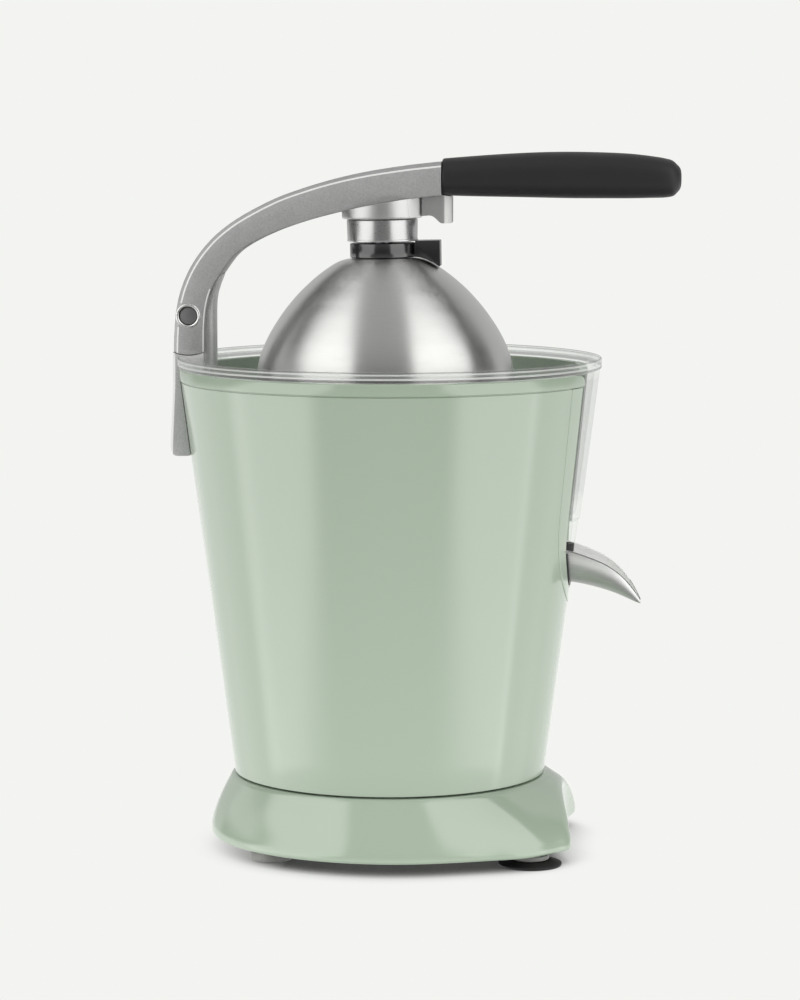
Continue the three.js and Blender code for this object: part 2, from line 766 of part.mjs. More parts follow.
// Heights of the press head are measured along its own axis from HEAD_BASE_Z.
const hz = (z) => z - HEAD_BASE_Z;
const hookSide = [
  [16, 304.9], [20.8, 304.9], [22.9, 303.5], [24.9, 301.2], [29.8, 301.2],
  [30.5, 301.9], [30.5, 313.6], [24, 314.6], [16, 315],
];
// The boss reaches up to the arm's underside all round.
const bossTop = tilt(turned([[0, hz(303.4)], [19.3, hz(303.4)], [19.3, hz(316)], [0, hz(316)]], 36)).intersect(
  prismY([[-40, 290], [30, 290], [30, 315], [14, 313.6], [3.7, 312.2], [-12.3, 309.3], [-27, 305.9], [-40, 302.4]], -25, 25),
);
const tang = [
  [22, 318.2], [30, 318.6], [70, 319.8], [112, 320.2], [112, 328.4], [70, 328], [30, 327], [22, 326.6],
];
add(
  "lever_arm",
  cut(
    join(
      prismY(armSide, -ARM_T / 2, ARM_T / 2, 2.2),
      bossTop,
      prismY(hookSide, -6.5, 6.5),
      prismY(tang, -6, 6),
    ),
    prismY(slot, -FORK_Y, FORK_Y),
    rodY(-20, 20, ...PIN, PIN_R + 0.35),
    rodY(11.8, 13.2, ...PIN, PIN_R + 0.4, 5.9),
    rodY(-13.2, -11.8, ...PIN, 5.9, PIN_R + 0.4),
    tilt(turned([[0, hz(300)], [5.4, hz(300)], [5.4, hz(313.6 + HEAD_TRAVEL)], [0, hz(313.6 + HEAD_TRAVEL)]], 20)),
  ),
  "cast",
);

// Grip: rounded bar over the tang, fattest towards its end.
{
  const rows = [
    // x, centre z, half height, half width
    [25.8, 322.85, 8.45, 12.4], [41.6, 323.35, 9.65, 13.2], [59.9, 324.1, 10.3, 13.8],
    [78.2, 324.3, 10.7, 14.2], [96.3, 324.3, 10.75, 14.4], [114.6, 323.9, 10.3, 14.1],
    [126, 323.3, 9.7, 13.4], [132.8, 322.8, 9.0, 12.5], [136.6, 322.5, 7.9, 11.2],
    [139, 322.2, 6.0, 8.8], [140.2, 322.1, 3.2, 5.0],
  ];
  const N = 20;
  const loops = rows.map(([x, zc, h, w]) =>
    Array.from({ length: N }, (_, i) => {
      const t = (2 * Math.PI * i) / N;
      const sq = (v) => Math.sign(v) * Math.pow(Math.abs(v), 0.72);
      return [x, w * sq(Math.cos(t)), zc + h * sq(Math.sin(t))];
    }),
  );
  const socket = prismY(
    [[20, 317.8], [30, 318.2], [70, 319.4], [112.4, 319.8], [112.4, 328.8], [70, 328.4], [30, 327.4], [20, 327]],
    -6.4, 6.4,
  );
  const g = cut(loft(loops), socket);
  add("grip", g, "black");
}

// ---------------------------------------------------------------- press head
const headGroup = new THREE.Group();
headGroup.position.set(HEAD_BASE_X, 0, HEAD_BASE_Z);
headGroup.rotation.y = -HEAD_TILT;
group.add(headGroup);

add(
  "collar_sleeve",
  turned([[16.05, hz(292.4)], [16.95, hz(292.4)], [16.95, hz(303)], [6.2, hz(303)], [6.2, hz(302)], [16.05, hz(302)]], 36),
  "brushed",
  headGroup,
);
add(
  "head_stem",
  turned(
    [[0, hz(274)], [5, hz(274)], [5, hz(281.4)], [13.6, hz(281.4)], [13.6, hz(282.4)], [5, hz(282.4)], [5, hz(312.4)], [0, hz(312.4)]],
    20,
  ),
  "zinc",
  headGroup,
);
// Compression spring round the stem.
{
  const turns = 3;
  const steps = 11;
  const pts = [];
  for (let i = 0; i <= turns * steps; i++) {
    const t = (2 * Math.PI * i) / steps;
    pts.push(
      new THREE.Vector3(
        10 * Math.cos(t),
        10 * Math.sin(t),
        hz(293.1) + (7.9 * i) / (turns * steps),
      ),
    );
  }
  const wire = new THREE.Shape(
    Array.from({ length: 5 }, (_, i) => {
      const t = (Math.PI * i) / 2.5;
      return new THREE.Vector2(0.7 * Math.cos(t), 0.7 * Math.sin(t));
    }),
  );
  const g = new THREE.ExtrudeGeometry(wire, {
    steps: turns * steps,
    bevelEnabled: false,
    extrudePath: new THREE.CatmullRomCurve3(pts),
  });
  add("head_spring", solid(g), "zinc", headGroup);
}
// Lock ring with its thumb tab.
// The tab joins the ring below the sleeve's travel and rises outside it.
const tabSide = [
  [11, hz(285.2)], [16.5, hz(284.8)], [18.4, hz(284.5)], [21.2, hz(283.6)],
  [24.4, hz(282)], [27.3, hz(280.1)], [27.9, hz(280.4)], [27.9, hz(292.6)],
  [11, hz(292.6)],
];
add(
  "lock_ring",
  cut(
    join(
      turned([[0, hz(284.6)], [15.7, hz(284.6)], [15.7, hz(291.7)], [0, hz(291.7)]], 36),
      cut(
        prismY(tabSide, -6.5, 6.5),
        turned([[0, hz(286.2)], [17.35, hz(286.2)], [17.35, hz(294)], [0, hz(294)]], 96),
      ),
    ),
    turned([[0, hz(280)], [5.4, hz(280)], [5.4, hz(296)], [0, hz(296)]], 20),
  ),
  "black",
  headGroup,
);
const domeOuter = [
  [16.2, 284.3], [21.3, 283], [27.1, 279.5], [34.6, 273.8],
  [41, 267.9], [47.4, 260.3], [52.8, 252.6], [57.2, 244.8], [60.3, 236.8],
  [DOME_R, 224],
];
const domeInner = [
  [60.7, 224], [58.4, 237.4], [53.4, 248.6], [46.2, 259.6],
  [37.4, 269.3], [24.6, 279.2], [16, 282.8],
];
add(
  "dome",
  turned(
    [[5.4, 284.3], ...domeOuter, ...domeInner, [5.4, 282.8]].map(([r, z]) => [r, hz(z)]),
    32,
  ),
  "brushed",
  headGroup,
);
add(
  "dome_nut",
  cut(
    turned([[0, hz(276)], [9, hz(276)], [9, hz(281)], [0, hz(281)]], 6),
    turned([[0, hz(270)], [5.4, hz(270)], [5.4, hz(290)], [0, hz(290)]], 20),
  ),
  "zinc",
  headGroup,
);

// --------------------------------------------------------------------- spout
// Open scoop: rim height, floor height and half width along X.
const SPOUT = [
  [72, 146.8, 129.6, 18.6], [80, 146.4, 129.3, 18.7], [86, 145.6, 128.8, 18.6],
  [92, 143.8, 128, 18.3], [98, 141.6, 126.7, 17.7], [104, 138.9, 125.1, 16.6],
  [109, 135.6, 123.4, 14.9], [113.5, 131.4, 121.5, 12.3], [117.4, 126.5, 119.7, 8.6],
  [120.2, 122, 118.5, 4.6], [121.5, 119.6, 118.2, 1.5],
];
const SPOUT_T = 1.2;
{
  const K = 8;
  const loops = SPOUT.map(([x, zr, zb, w]) => {
    const arc = (inset) =>
      Array.from({ length: K + 1 }, (_, k) => {
        const t = -Math.PI / 2 + (Math.PI * k) / K;
        const ww = Math.max(w - inset, 0.25);
        const d = Math.max(zr - zb - inset, 0.2);
        return [x, ww * Math.sin(t), zr - d * Math.cos(t)];
      });
    return [...arc(0), ...arc(SPOUT_T).reverse()];
  });
  const s = skin(loops, false);
  const M = s.n;
  const cap = (j, flip) => {
    for (let k = 0; k < K; k++) {
      const a = j * M + k;
      const b = j * M + k + 1;
      const c = j * M + (M - 1 - k);
      const d = j * M + (M - 2 - k);
      const quads = [[a, b, d], [a, d, c]];
      quads.forEach((q) => s.idx.push(...(flip ? [q[0], q[2], q[1]] : q)));
    }
  };
  cap(0, true);
  cap(loops.length - 1, false);
  const scoop = solid(skinGeometry(s));
  // Closed back of the scoop.
  const [x, zr, zb, w] = SPOUT[0];
  const back = prismX(
    Array.from({ length: K + 1 }, (_, k) => {
      const t = -Math.PI / 2 + (Math.PI * k) / K;
      return [(w - 0.4) * Math.sin(t), zr - (zr - zb - 0.4) * Math.cos(t)];
    }),
    x, x + SPOUT_T,
  );
  add(
    "spout",
    cut(join(scoop, back), rodY(-24, 24, ...SPOUT_PIVOT, 1.8, 1.8, 12)),
    "brushed",
  );
}
add("spout_pivot_pin", rodY(-24, 24, ...SPOUT_PIVOT, 1.5, 1.5, 12), "zinc");
add(
  "drip_stop_plug",
  join(rodZ(NOZZLE, 0, 131.9, 138.4, 5.2, 4.2, 16), rodZ(NOZZLE, 0, 130.9, 132.2, 1.6, 1.6, 10)),
  "rubber",
);

// Origin under the middle of the whole object.
group.updateMatrixWorld(true);
const bounds = new THREE.Box3().setFromObject(group, true);
group.position.set(-(bounds.min.x + bounds.max.x) / 2, -(bounds.min.y + bounds.max.y) / 2, -bounds.min.z);
group.updateMatrixWorld(true);

export default group;
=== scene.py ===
# Looks of the lever citrus press: every visible piece as a fine mesh with its
# own procedural finish, a pale floor, soft studio light and the camera.
import math

import bmesh
import bpy
import numpy as np
from mathutils import Matrix, Vector


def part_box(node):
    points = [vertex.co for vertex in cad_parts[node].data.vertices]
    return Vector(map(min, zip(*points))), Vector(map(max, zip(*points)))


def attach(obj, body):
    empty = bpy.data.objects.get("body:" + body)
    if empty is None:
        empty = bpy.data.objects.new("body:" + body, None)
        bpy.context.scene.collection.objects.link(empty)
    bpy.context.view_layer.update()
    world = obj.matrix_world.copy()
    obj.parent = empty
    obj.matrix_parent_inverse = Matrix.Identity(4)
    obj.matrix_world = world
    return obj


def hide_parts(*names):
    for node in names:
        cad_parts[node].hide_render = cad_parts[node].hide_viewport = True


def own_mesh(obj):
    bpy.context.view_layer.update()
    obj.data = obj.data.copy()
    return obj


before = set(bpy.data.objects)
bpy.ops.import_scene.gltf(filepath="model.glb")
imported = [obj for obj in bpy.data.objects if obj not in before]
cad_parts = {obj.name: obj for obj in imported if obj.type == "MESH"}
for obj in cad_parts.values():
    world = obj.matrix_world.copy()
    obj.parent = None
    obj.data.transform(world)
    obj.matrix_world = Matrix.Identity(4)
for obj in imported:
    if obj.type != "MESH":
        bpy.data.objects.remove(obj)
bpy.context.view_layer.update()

MM = 0.001
_lo, _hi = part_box("drive_shaft")
AXIS_X = (_lo.x + _hi.x) / 2  # the reamer axis in the row frame, metres
AXIS_Y = (_lo.y + _hi.y) / 2

# ------------------------------------------------------------------ settings
CONE_R0, CONE_Z0, CONE_SLOPE = 75.2, 35.4, 0.1325
TILT = math.radians(1.0)
TILT_Z = 203.0
HEAD_X = -1.78
PIN = (-95.9, 256.8)
SPOUT_PIVOT = (76.0, 141.0)
CAM_AZ = math.radians(4.2)


def cone_r(z):
    return CONE_R0 + CONE_SLOPE * (z - CONE_Z0)


# ------------------------------------------------------------- mesh functions
def make(name, verts, faces, mat=None, body=None, stands_for=(), sharp=32.0):
    """Object from millimetre points in the reamer-axis frame."""
    me = bpy.data.meshes.new(name)
    me.from_pydata([(v[0] * MM, v[1] * MM, v[2] * MM) for v in verts], [], faces)
    me.validate(verbose=False)
    ob = bpy.data.objects.new(name, me)
    bpy.context.scene.collection.objects.link(ob)
    return settle(ob, mat, body, stands_for, sharp)


def settle(ob, mat=None, body=None, stands_for=(), sharp=32.0):
    if mat is not None:
        ob.data.materials.clear()
        ob.data.materials.append(mat)
    shade(ob, sharp)
    if body:
        ob.data.transform(Matrix.Translation((AXIS_X, AXIS_Y, 0)))
        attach(ob, body)
        if stands_for:
            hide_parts(*stands_for)
    return ob


def shade(ob, sharp):
    me = ob.data
    bm = bmesh.new()
    bm.from_mesh(me)
    bmesh.ops.remove_doubles(bm, verts=bm.verts, dist=2e-6)
    bmesh.ops.recalc_face_normals(bm, faces=bm.faces)
    limit = math.radians(sharp)
    for f in bm.faces:
        f.smooth = True
    for e in bm.edges:
        e.smooth = len(e.link_faces) != 2 or e.calc_face_angle(0.0) < limit
    bm.to_mesh(me)
    bm.free()


def lathe(profile, seg=160, closed=True, axis_points=True):
    """Turned mesh from [radius, height] points; radius 0 points sit on the axis."""
    verts, rings = [], []
    for r, z in profile:
        if r < 1e-6:
            rings.append([len(verts)])
            verts.append((0.0, 0.0, z))
        else:
            s = len(verts)
            rings.append(list(range(s, s + seg)))
            for i in range(seg):
                t = 2 * math.pi * i / seg
                verts.append((r * math.cos(t), r * math.sin(t), z))
    faces = []
    n = len(rings)
    for j in range(n if closed else n - 1):
        a, b = rings[j], rings[(j + 1) % n]
        if len(a) == 1 and len(b) == 1:
            continue
        for i in range(seg):
            k = (i + 1) % seg
            if len(a) == 1:
                faces.append((a[0], b[i], b[k]))
            elif len(b) == 1:
                faces.append((a[i], b[0], a[k]))
            else:
                faces.append((a[i], b[i], b[k], a[k]))
    return verts, faces


def arc(cx, cz, r, a0, a1, n=5):
    """Points of a small arc in the profile plane, degrees."""
    return [
        (cx + r * math.cos(math.radians(a0 + (a1 - a0) * i / n)),
         cz + r * math.sin(math.radians(a0 + (a1 - a0) * i / n)))
        for i in range(n + 1)
    ]


def spline(pts, n):
    """Even samples of a centripetal curve through points of any dimension."""
    p = np.array(pts, float)
    ext = np.vstack([2 * p[0] - p[1], p, 2 * p[-1] - p[-2]])
    out = []
    for i in range(1, len(ext) - 2):
        p0, p1, p2, p3 = ext[i - 1 : i + 3]
        t0 = 0.0
        t1 = t0 + max(np.linalg.norm(p1 - p0), 1e-9) ** 0.5
        t2 = t1 + max(np.linalg.norm(p2 - p1), 1e-9) ** 0.5
        t3 = t2 + max(np.linalg.norm(p3 - p2), 1e-9) ** 0.5
        for t in np.linspace(t1, t2, 24, endpoint=False):
            a1 = (t1 - t) / (t1 - t0) * p0 + (t - t0) / (t1 - t0) * p1
            a2 = (t2 - t) / (t2 - t1) * p1 + (t - t1) / (t2 - t1) * p2
            a3 = (t3 - t) / (t3 - t2) * p2 + (t - t2) / (t3 - t2) * p3
            b1 = (t2 - t) / (t2 - t0) * a1 + (t - t0) / (t2 - t0) * a2
            b2 = (t3 - t) / (t3 - t1) * a2 + (t - t1) / (t3 - t1) * a3
            out.append((t2 - t) / (t2 - t1) * b1 + (t - t1) / (t2 - t1) * b2)
    out.append(p[-1])
    out = np.array(out)
    d = np.concatenate([[0], np.cumsum(np.linalg.norm(np.diff(out, axis=0), axis=1))])
    s = np.linspace(0, d[-1], n)
    return np.stack([np.interp(s, d, out[:, k]) for k in range(out.shape[1])], 1)


def grid_faces(rows, cols, wrap_rows=False, wrap_cols=False, start=0):
    faces = []
    for j in range(rows if wrap_rows else rows - 1):
        for i in range(cols if wrap_cols else cols - 1):
            a = start + j * cols + i
            b = start + j * cols + (i + 1) % cols
            c = start + ((j + 1) % rows) * cols + (i + 1) % cols
            d = start + ((j + 1) % rows) * cols + i
            faces.append((a, b, c, d))
    return faces


def loft(loops, cap=True):
    """Closed mesh through loops of equal length."""
    n = len(loops[0])
    verts = [tuple(p) for l in loops for p in l]
    faces = grid_faces(len(loops), n, wrap_cols=True)
    if cap:
        faces.append(tuple(range(n))[::-1])
        s = (len(loops) - 1) * n
        faces.append(tuple(range(s, s + n)))
    return verts, faces


def raw(name, verts, faces):
    """Plain helper object for a boolean, in the reamer-axis frame, metres."""
    return make(name, verts, faces)


def box_mesh(x0, x1, y0, y1, z0, z1):
    v = [(x, y, z) for z in (z0, z1) for y in (y0, y1) for x in (x0, x1)]
    f = [(0, 2, 3, 1), (4, 5, 7, 6), (0, 1, 5, 4), (2, 6, 7, 3), (0, 4, 6, 2), (1, 3, 7, 5)]
    return v, f


def prism(outline, lo, hi, axis):
    """Prism of a 2-D outline. axis 'y': outline is (x, z); 'x': (y, z); 'z': (x, y)."""
    n = len(outline)

    def at(p, h):
        if axis == "y":
            return (p[0], h, p[1])
        if axis == "x":
            return (h, p[0], p[1])
        return (p[0], p[1], h)

    verts = [at(p, lo) for p in outline] + [at(p, hi) for p in outline]
    faces = [tuple(range(n)), tuple(range(2 * n - 1, n - 1, -1))]
    for i in range(n):
        k = (i + 1) % n
        faces.append((i, n + i, n + k, k))
    return verts, faces


def rod(axis, lo, hi, a, b, r0, r1=None, seg=48):
    """Cylinder or cone along an axis. (a, b) are the two other coordinates."""
    r1 = r0 if r1 is None else r1
    verts = []
    for h, r in ((lo, r0), (hi, r1)):
        for i in range(seg):
            t = 2 * math.pi * i / seg
            u, v = a + r * math.cos(t), b + r * math.sin(t)
            verts.append({"x": (h, u, v), "y": (u, h, v), "z": (u, v, h)}[axis])
    faces = [tuple(range(seg)), tuple(range(2 * seg - 1, seg - 1, -1))]
    for i in range(seg):
        k = (i + 1) % seg
        faces.append((i, seg + i, seg + k, k))
    return verts, faces


def evaluate(ob):
    """Bakes an object's modifiers into its mesh."""
    dg = bpy.context.evaluated_depsgraph_get()
    dg.update()
    me = bpy.data.meshes.new_from_object(ob.evaluated_get(dg))
    old = ob.data
    ob.modifiers.clear()
    ob.data = me
    bpy.data.meshes.remove(old)
    return ob


def boolean(ob, other, op="DIFFERENCE"):
    m = ob.modifiers.new("b", "BOOLEAN")
    m.operation = op
    m.object = other
    m.solver = "EXACT"
    evaluate(ob)
    bpy.data.objects.remove(other)
    return ob


def carve(ob, *meshes):
    for i, (v, f) in enumerate(meshes):
        boolean(ob, raw("cutter", v, f), "DIFFERENCE")
    return ob


def unite(ob, *meshes):
    for i, (v, f) in enumerate(meshes):
        boolean(ob, raw("adder", v, f), "UNION")
    return ob


def common(ob, *meshes):
    for i, (v, f) in enumerate(meshes):
        boolean(ob, raw("limiter", v, f), "INTERSECT")
    return ob


def bevel(ob, width, segments=2, angle=35):
    m = ob.modifiers.new("v", "BEVEL")
    m.width = width * MM
    m.segments = segments
    m.limit_method = "ANGLE"
    m.angle_limit = math.radians(angle)
    m.use_clamp_overlap = True
    m.harden_normals = False
    return evaluate(ob)


def tilt_mesh(ob):
    """Leans a press-head piece, made upright, about the head's lower centre."""
    t = Matrix.Translation((HEAD_X * MM, 0, TILT_Z * MM)) @ Matrix.Rotation(-TILT, 4, "Y") @ Matrix.Translation((0, 0, -TILT_Z * MM))
    ob.data.transform(t)
    return ob


def mirror_half(half):
    return list(half) + [(-y, z) for y, z in reversed(half) if y > 1e-6]


def grown(pts, d):
    n = len(pts)
    out = []
    for i, p in enumerate(pts):
        a, b = pts[i - 1], pts[(i + 1) % n]
        t = (b[0] - a[0], b[1] - a[1])
        l = math.hypot(*t) or 1
        out.append((p[0] + d * t[1] / l, p[1] - d * t[0] / l))
    return out


def below(pts, top):
    """Closed outline of an open-topped U, cut level at a height."""
    right = [p for p in pts[: len(pts) // 2 + 1] if p[0] >= 0]
    out = []
    for a, b in zip(right, right[1:]):
        out.append(a)
        if b[1] >= top:
            t = (top - a[1]) / (b[1] - a[1])
            out.append((a[0] + t * (b[0] - a[0]), top))
            break
    return out + [(-y, z) for y, z in reversed(out) if y > 1e-6]


# ------------------------------------------------------------------ materials
class Nodes:
    """Small builder of a node tree."""

    def __init__(self, tree):
        self.t = tree
        self.x = -1600

    def add(self, kind, **props):
        n = self.t.nodes.new(kind)
        self.x += 60
        n.location = (self.x, 0)
        for k, v in props.items():
            setattr(n, k, v)
        return n

    def link(self, a, b):
        self.t.links.new(a, b)

    def put(self, socket, value):
        if isinstance(value, bpy.types.NodeSocket):
            self.link(value, socket)
        else:
            socket.default_value = value

    def math(self, op, a, b=0.0, c=0.0, clamp=False):
        n = self.add("ShaderNodeMath", operation=op, use_clamp=clamp)
        self.put(n.inputs[0], a)
        self.put(n.inputs[1], b)
        self.put(n.inputs[2], c)
        return n.outputs[0]

    def vec(self, op, a, b=(0, 0, 0)):
        n = self.add("ShaderNodeVectorMath", operation=op)
        self.put(n.inputs[0], a)
        self.put(n.inputs[1], b)
        return n.outputs["Value"] if op in ("DOT_PRODUCT", "LENGTH") else n.outputs["Vector"]

    def ramp(self, value, lo, hi, a=0.0, b=1.0, smooth=True):
        n = self.add("ShaderNodeMapRange", interpolation_type="SMOOTHSTEP" if smooth else "LINEAR")
        n.clamp = True
        self.put(n.inputs["Value"], value)
        self.put(n.inputs["From Min"], lo)
        self.put(n.inputs["From Max"], hi)
        self.put(n.inputs["To Min"], a)
        self.put(n.inputs["To Max"], b)
        return n.outputs["Result"]

    def noise(self, vector, scale, detail=3.0, rough=0.5):
        n = self.add("ShaderNodeTexNoise")
        self.link(vector, n.inputs["Vector"])
        n.inputs["Scale"].default_value = scale
        n.inputs["Detail"].default_value = detail
        n.inputs["Roughness"].default_value = rough
        return n.outputs["Fac"]

    def coords(self):
        return self.add("ShaderNodeTexCoord").outputs["Object"]

    def mix(self, fac, a, b, kind="RGBA", blend="MIX"):
        n = self.add("ShaderNodeMix", data_type=kind)
        if kind == "RGBA":
            n.blend_type = blend
            self.put(n.inputs[0], fac)
            self.put(n.inputs[6], a)
            self.put(n.inputs[7], b)
            return n.outputs[2]
        self.put(n.inputs[0], fac)
        self.put(n.inputs[2], a)
        self.put(n.inputs[3], b)
        return n.outputs[0]

    def bump(self, height, strength, distance):
        n = self.add("ShaderNodeBump")
        n.inputs["Strength"].default_value = strength
        n.inputs["Distance"].default_value = distance
        self.link(height, n.inputs["Height"])
        return n.outputs["Normal"]


def rgb(c, k=1.0):
    return (c[0] * k, c[1] * k, c[2] * k, 1.0)


def material(name):
    m = bpy.data.materials.new(name)
    m.use_nodes = True
    b = m.node_tree.nodes["Principled BSDF"]
    return m, Nodes(m.node_tree), b


def plastic(name, color, rough=0.22, grain=0.0, grain_scale=1500, mottling=0.02, specular=0.5, coat=0.0, ior=1.5):
    """Moulded plastic: faint colour drift, fine surface texture, small roughness changes."""
    m, n, b = material(name)
    co = n.coords()
    drift = n.noise(co, 18, 2)
    n.link(n.mix(drift, rgb(color, 1 - mottling), rgb(color, 1 + mottling)), b.inputs["Base Color"])
    fine = n.noise(co, grain_scale, 2)
    b.inputs["Metallic"].default_value = 0
    n.link(n.ramp(n.noise(co, 60, 3), 0.3, 0.7, rough * 0.92, rough * 1.08), b.inputs["Roughness"])
    b.inputs["Specular IOR Level"].default_value = specular
    b.inputs["IOR"].default_value = ior
    b.inputs["Coat Weight"].default_value = coat
    b.inputs["Coat Roughness"].default_value = 0.08
    if grain > 0:
        n.link(n.bump(fine, grain, 0.0002), b.inputs["Normal"])
    else:
        n.link(n.bump(n.noise(co, 90, 2), 0.02, 0.0004), b.inputs["Normal"])
    return m


def turned_steel(name, color=(0.62, 0.62, 0.61), rough=0.3, aniso=0.75, lean=False, centre=None, streak=1.0):
    """Steel brushed round its own axis: fine rings of colour, roughness and height."""
    m, n, b = material(name)
    cx, cy = centre if centre else (AXIS_X, AXIS_Y)
    co = n.coords()
    p = n.vec("SUBTRACT", co, (cx, cy, 0))
    sep = n.add("ShaderNodeSeparateXYZ")
    n.link(p, sep.inputs[0])
    x, y, z = sep.outputs
    if lean:
        x = n.math("ADD", x, n.math("MULTIPLY", n.math("SUBTRACT", z, TILT_Z * MM), math.tan(TILT)))
        x = n.math("SUBTRACT", x, HEAD_X * MM)
    r = n.math("SQRT", n.math("ADD", n.math("MULTIPLY", x, x), n.math("MULTIPLY", y, y)))
    ang = n.math("ARCTAN2", y, x)
    along = n.math("ADD", n.math("MULTIPLY", z, 1.0), n.math("MULTIPLY", r, 0.45))
    comb = n.add("ShaderNodeCombineXYZ")
    n.link(n.math("MULTIPLY", n.math("COSINE", ang), 0.006), comb.inputs[0])
    n.link(n.math("MULTIPLY", n.math("SINE", ang), 0.006), comb.inputs[1])
    n.link(along, comb.inputs[2])
    lines = n.noise(comb.outputs[0], 2600, 4, 0.65)
    broad = n.noise(comb.outputs[0], 420, 2, 0.5)
    mix = n.math("ADD", n.math("MULTIPLY", lines, 0.7), n.math("MULTIPLY", broad, 0.3))
    n.link(n.mix(n.ramp(mix, 0.3, 0.7, smooth=False), rgb(color, 1 - 0.07 * streak), rgb(color, 1 + 0.07 * streak)), b.inputs["Base Color"])
    n.link(n.ramp(mix, 0.3, 0.7, rough * 0.88, rough * 1.14), b.inputs["Roughness"])
    b.inputs["Metallic"].default_value = 1
    b.inputs["Anisotropic"].default_value = aniso
    b.inputs["Anisotropic Rotation"].default_value = 0.25
    tan = n.add("ShaderNodeTangent", direction_type="RADIAL", axis="Z")
    n.link(tan.outputs[0], b.inputs["Tangent"])
    n.link(n.bump(mix, 0.03 * streak, 0.00003), b.inputs["Normal"])
    return m


def line_steel(name, axis, color=(0.6, 0.6, 0.59), rough=0.3, aniso=0.6, metallic=1.0):
    """Steel brushed in straight lines along an axis ('X', 'Y' or 'Z')."""
    m, n, b = material(name)
    co = n.coords()
    stretch = {"X": (0.02, 1, 1), "Y": (1, 0.02, 1), "Z": (1, 1, 0.02)}[axis]
    v = n.vec("MULTIPLY", co, stretch)
    lines = n.noise(v, 2400, 4, 0.65)
    n.link(n.mix(n.ramp(lines, 0.3, 0.7, smooth=False), rgb(color, 0.92), rgb(color, 1.06)), b.inputs["Base Color"])
    n.link(n.ramp(lines, 0.3, 0.7, rough * 0.88, rough * 1.15), b.inputs["Roughness"])
    b.inputs["Metallic"].default_value = metallic
    b.inputs["Anisotropic"].default_value = aniso
    n.link(n.bump(lines, 0.07, 0.00006), b.inputs["Normal"])
    return m


def cast_metal(name, color=(0.5, 0.5, 0.505), rough=0.44):
    """Bead-blasted cast aluminium: fine sparkle and a soft pitted grain."""
    m, n, b = material(name)
    co = n.coords()
    grain = n.noise(co, 1250, 3, 0.65)
    cloud = n.noise(co, 60, 4, 0.6)
    speck = n.math("ADD", n.math("MULTIPLY", grain, 0.8), n.math("MULTIPLY", cloud, 0.2))
    n.link(n.mix(n.ramp(speck, 0.32, 0.68, smooth=False), rgb(color, 0.82), rgb(color, 1.18)), b.inputs["Base Color"])
    n.link(n.ramp(grain, 0.3, 0.7, rough * 0.9, rough * 1.12), b.inputs["Roughness"])
    b.inputs["Metallic"].default_value = 1
    n.link(n.bump(speck, 0.3, 0.0001), b.inputs["Normal"])
    return m


def metal(name, color, rough=0.35, grain=0.05, scale=900):
    m, n, b = material(name)
    co = n.coords()
    f = n.noise(co, scale, 3)
    n.link(n.mix(f, rgb(color, 0.92), rgb(color, 1.06)), b.inputs["Base Color"])
    n.link(n.ramp(f, 0.3, 0.7, rough * 0.85, rough * 1.15), b.inputs["Roughness"])
    b.inputs["Metallic"].default_value = 1
    n.link(n.bump(f, grain, 0.0001), b.inputs["Normal"])
    return m


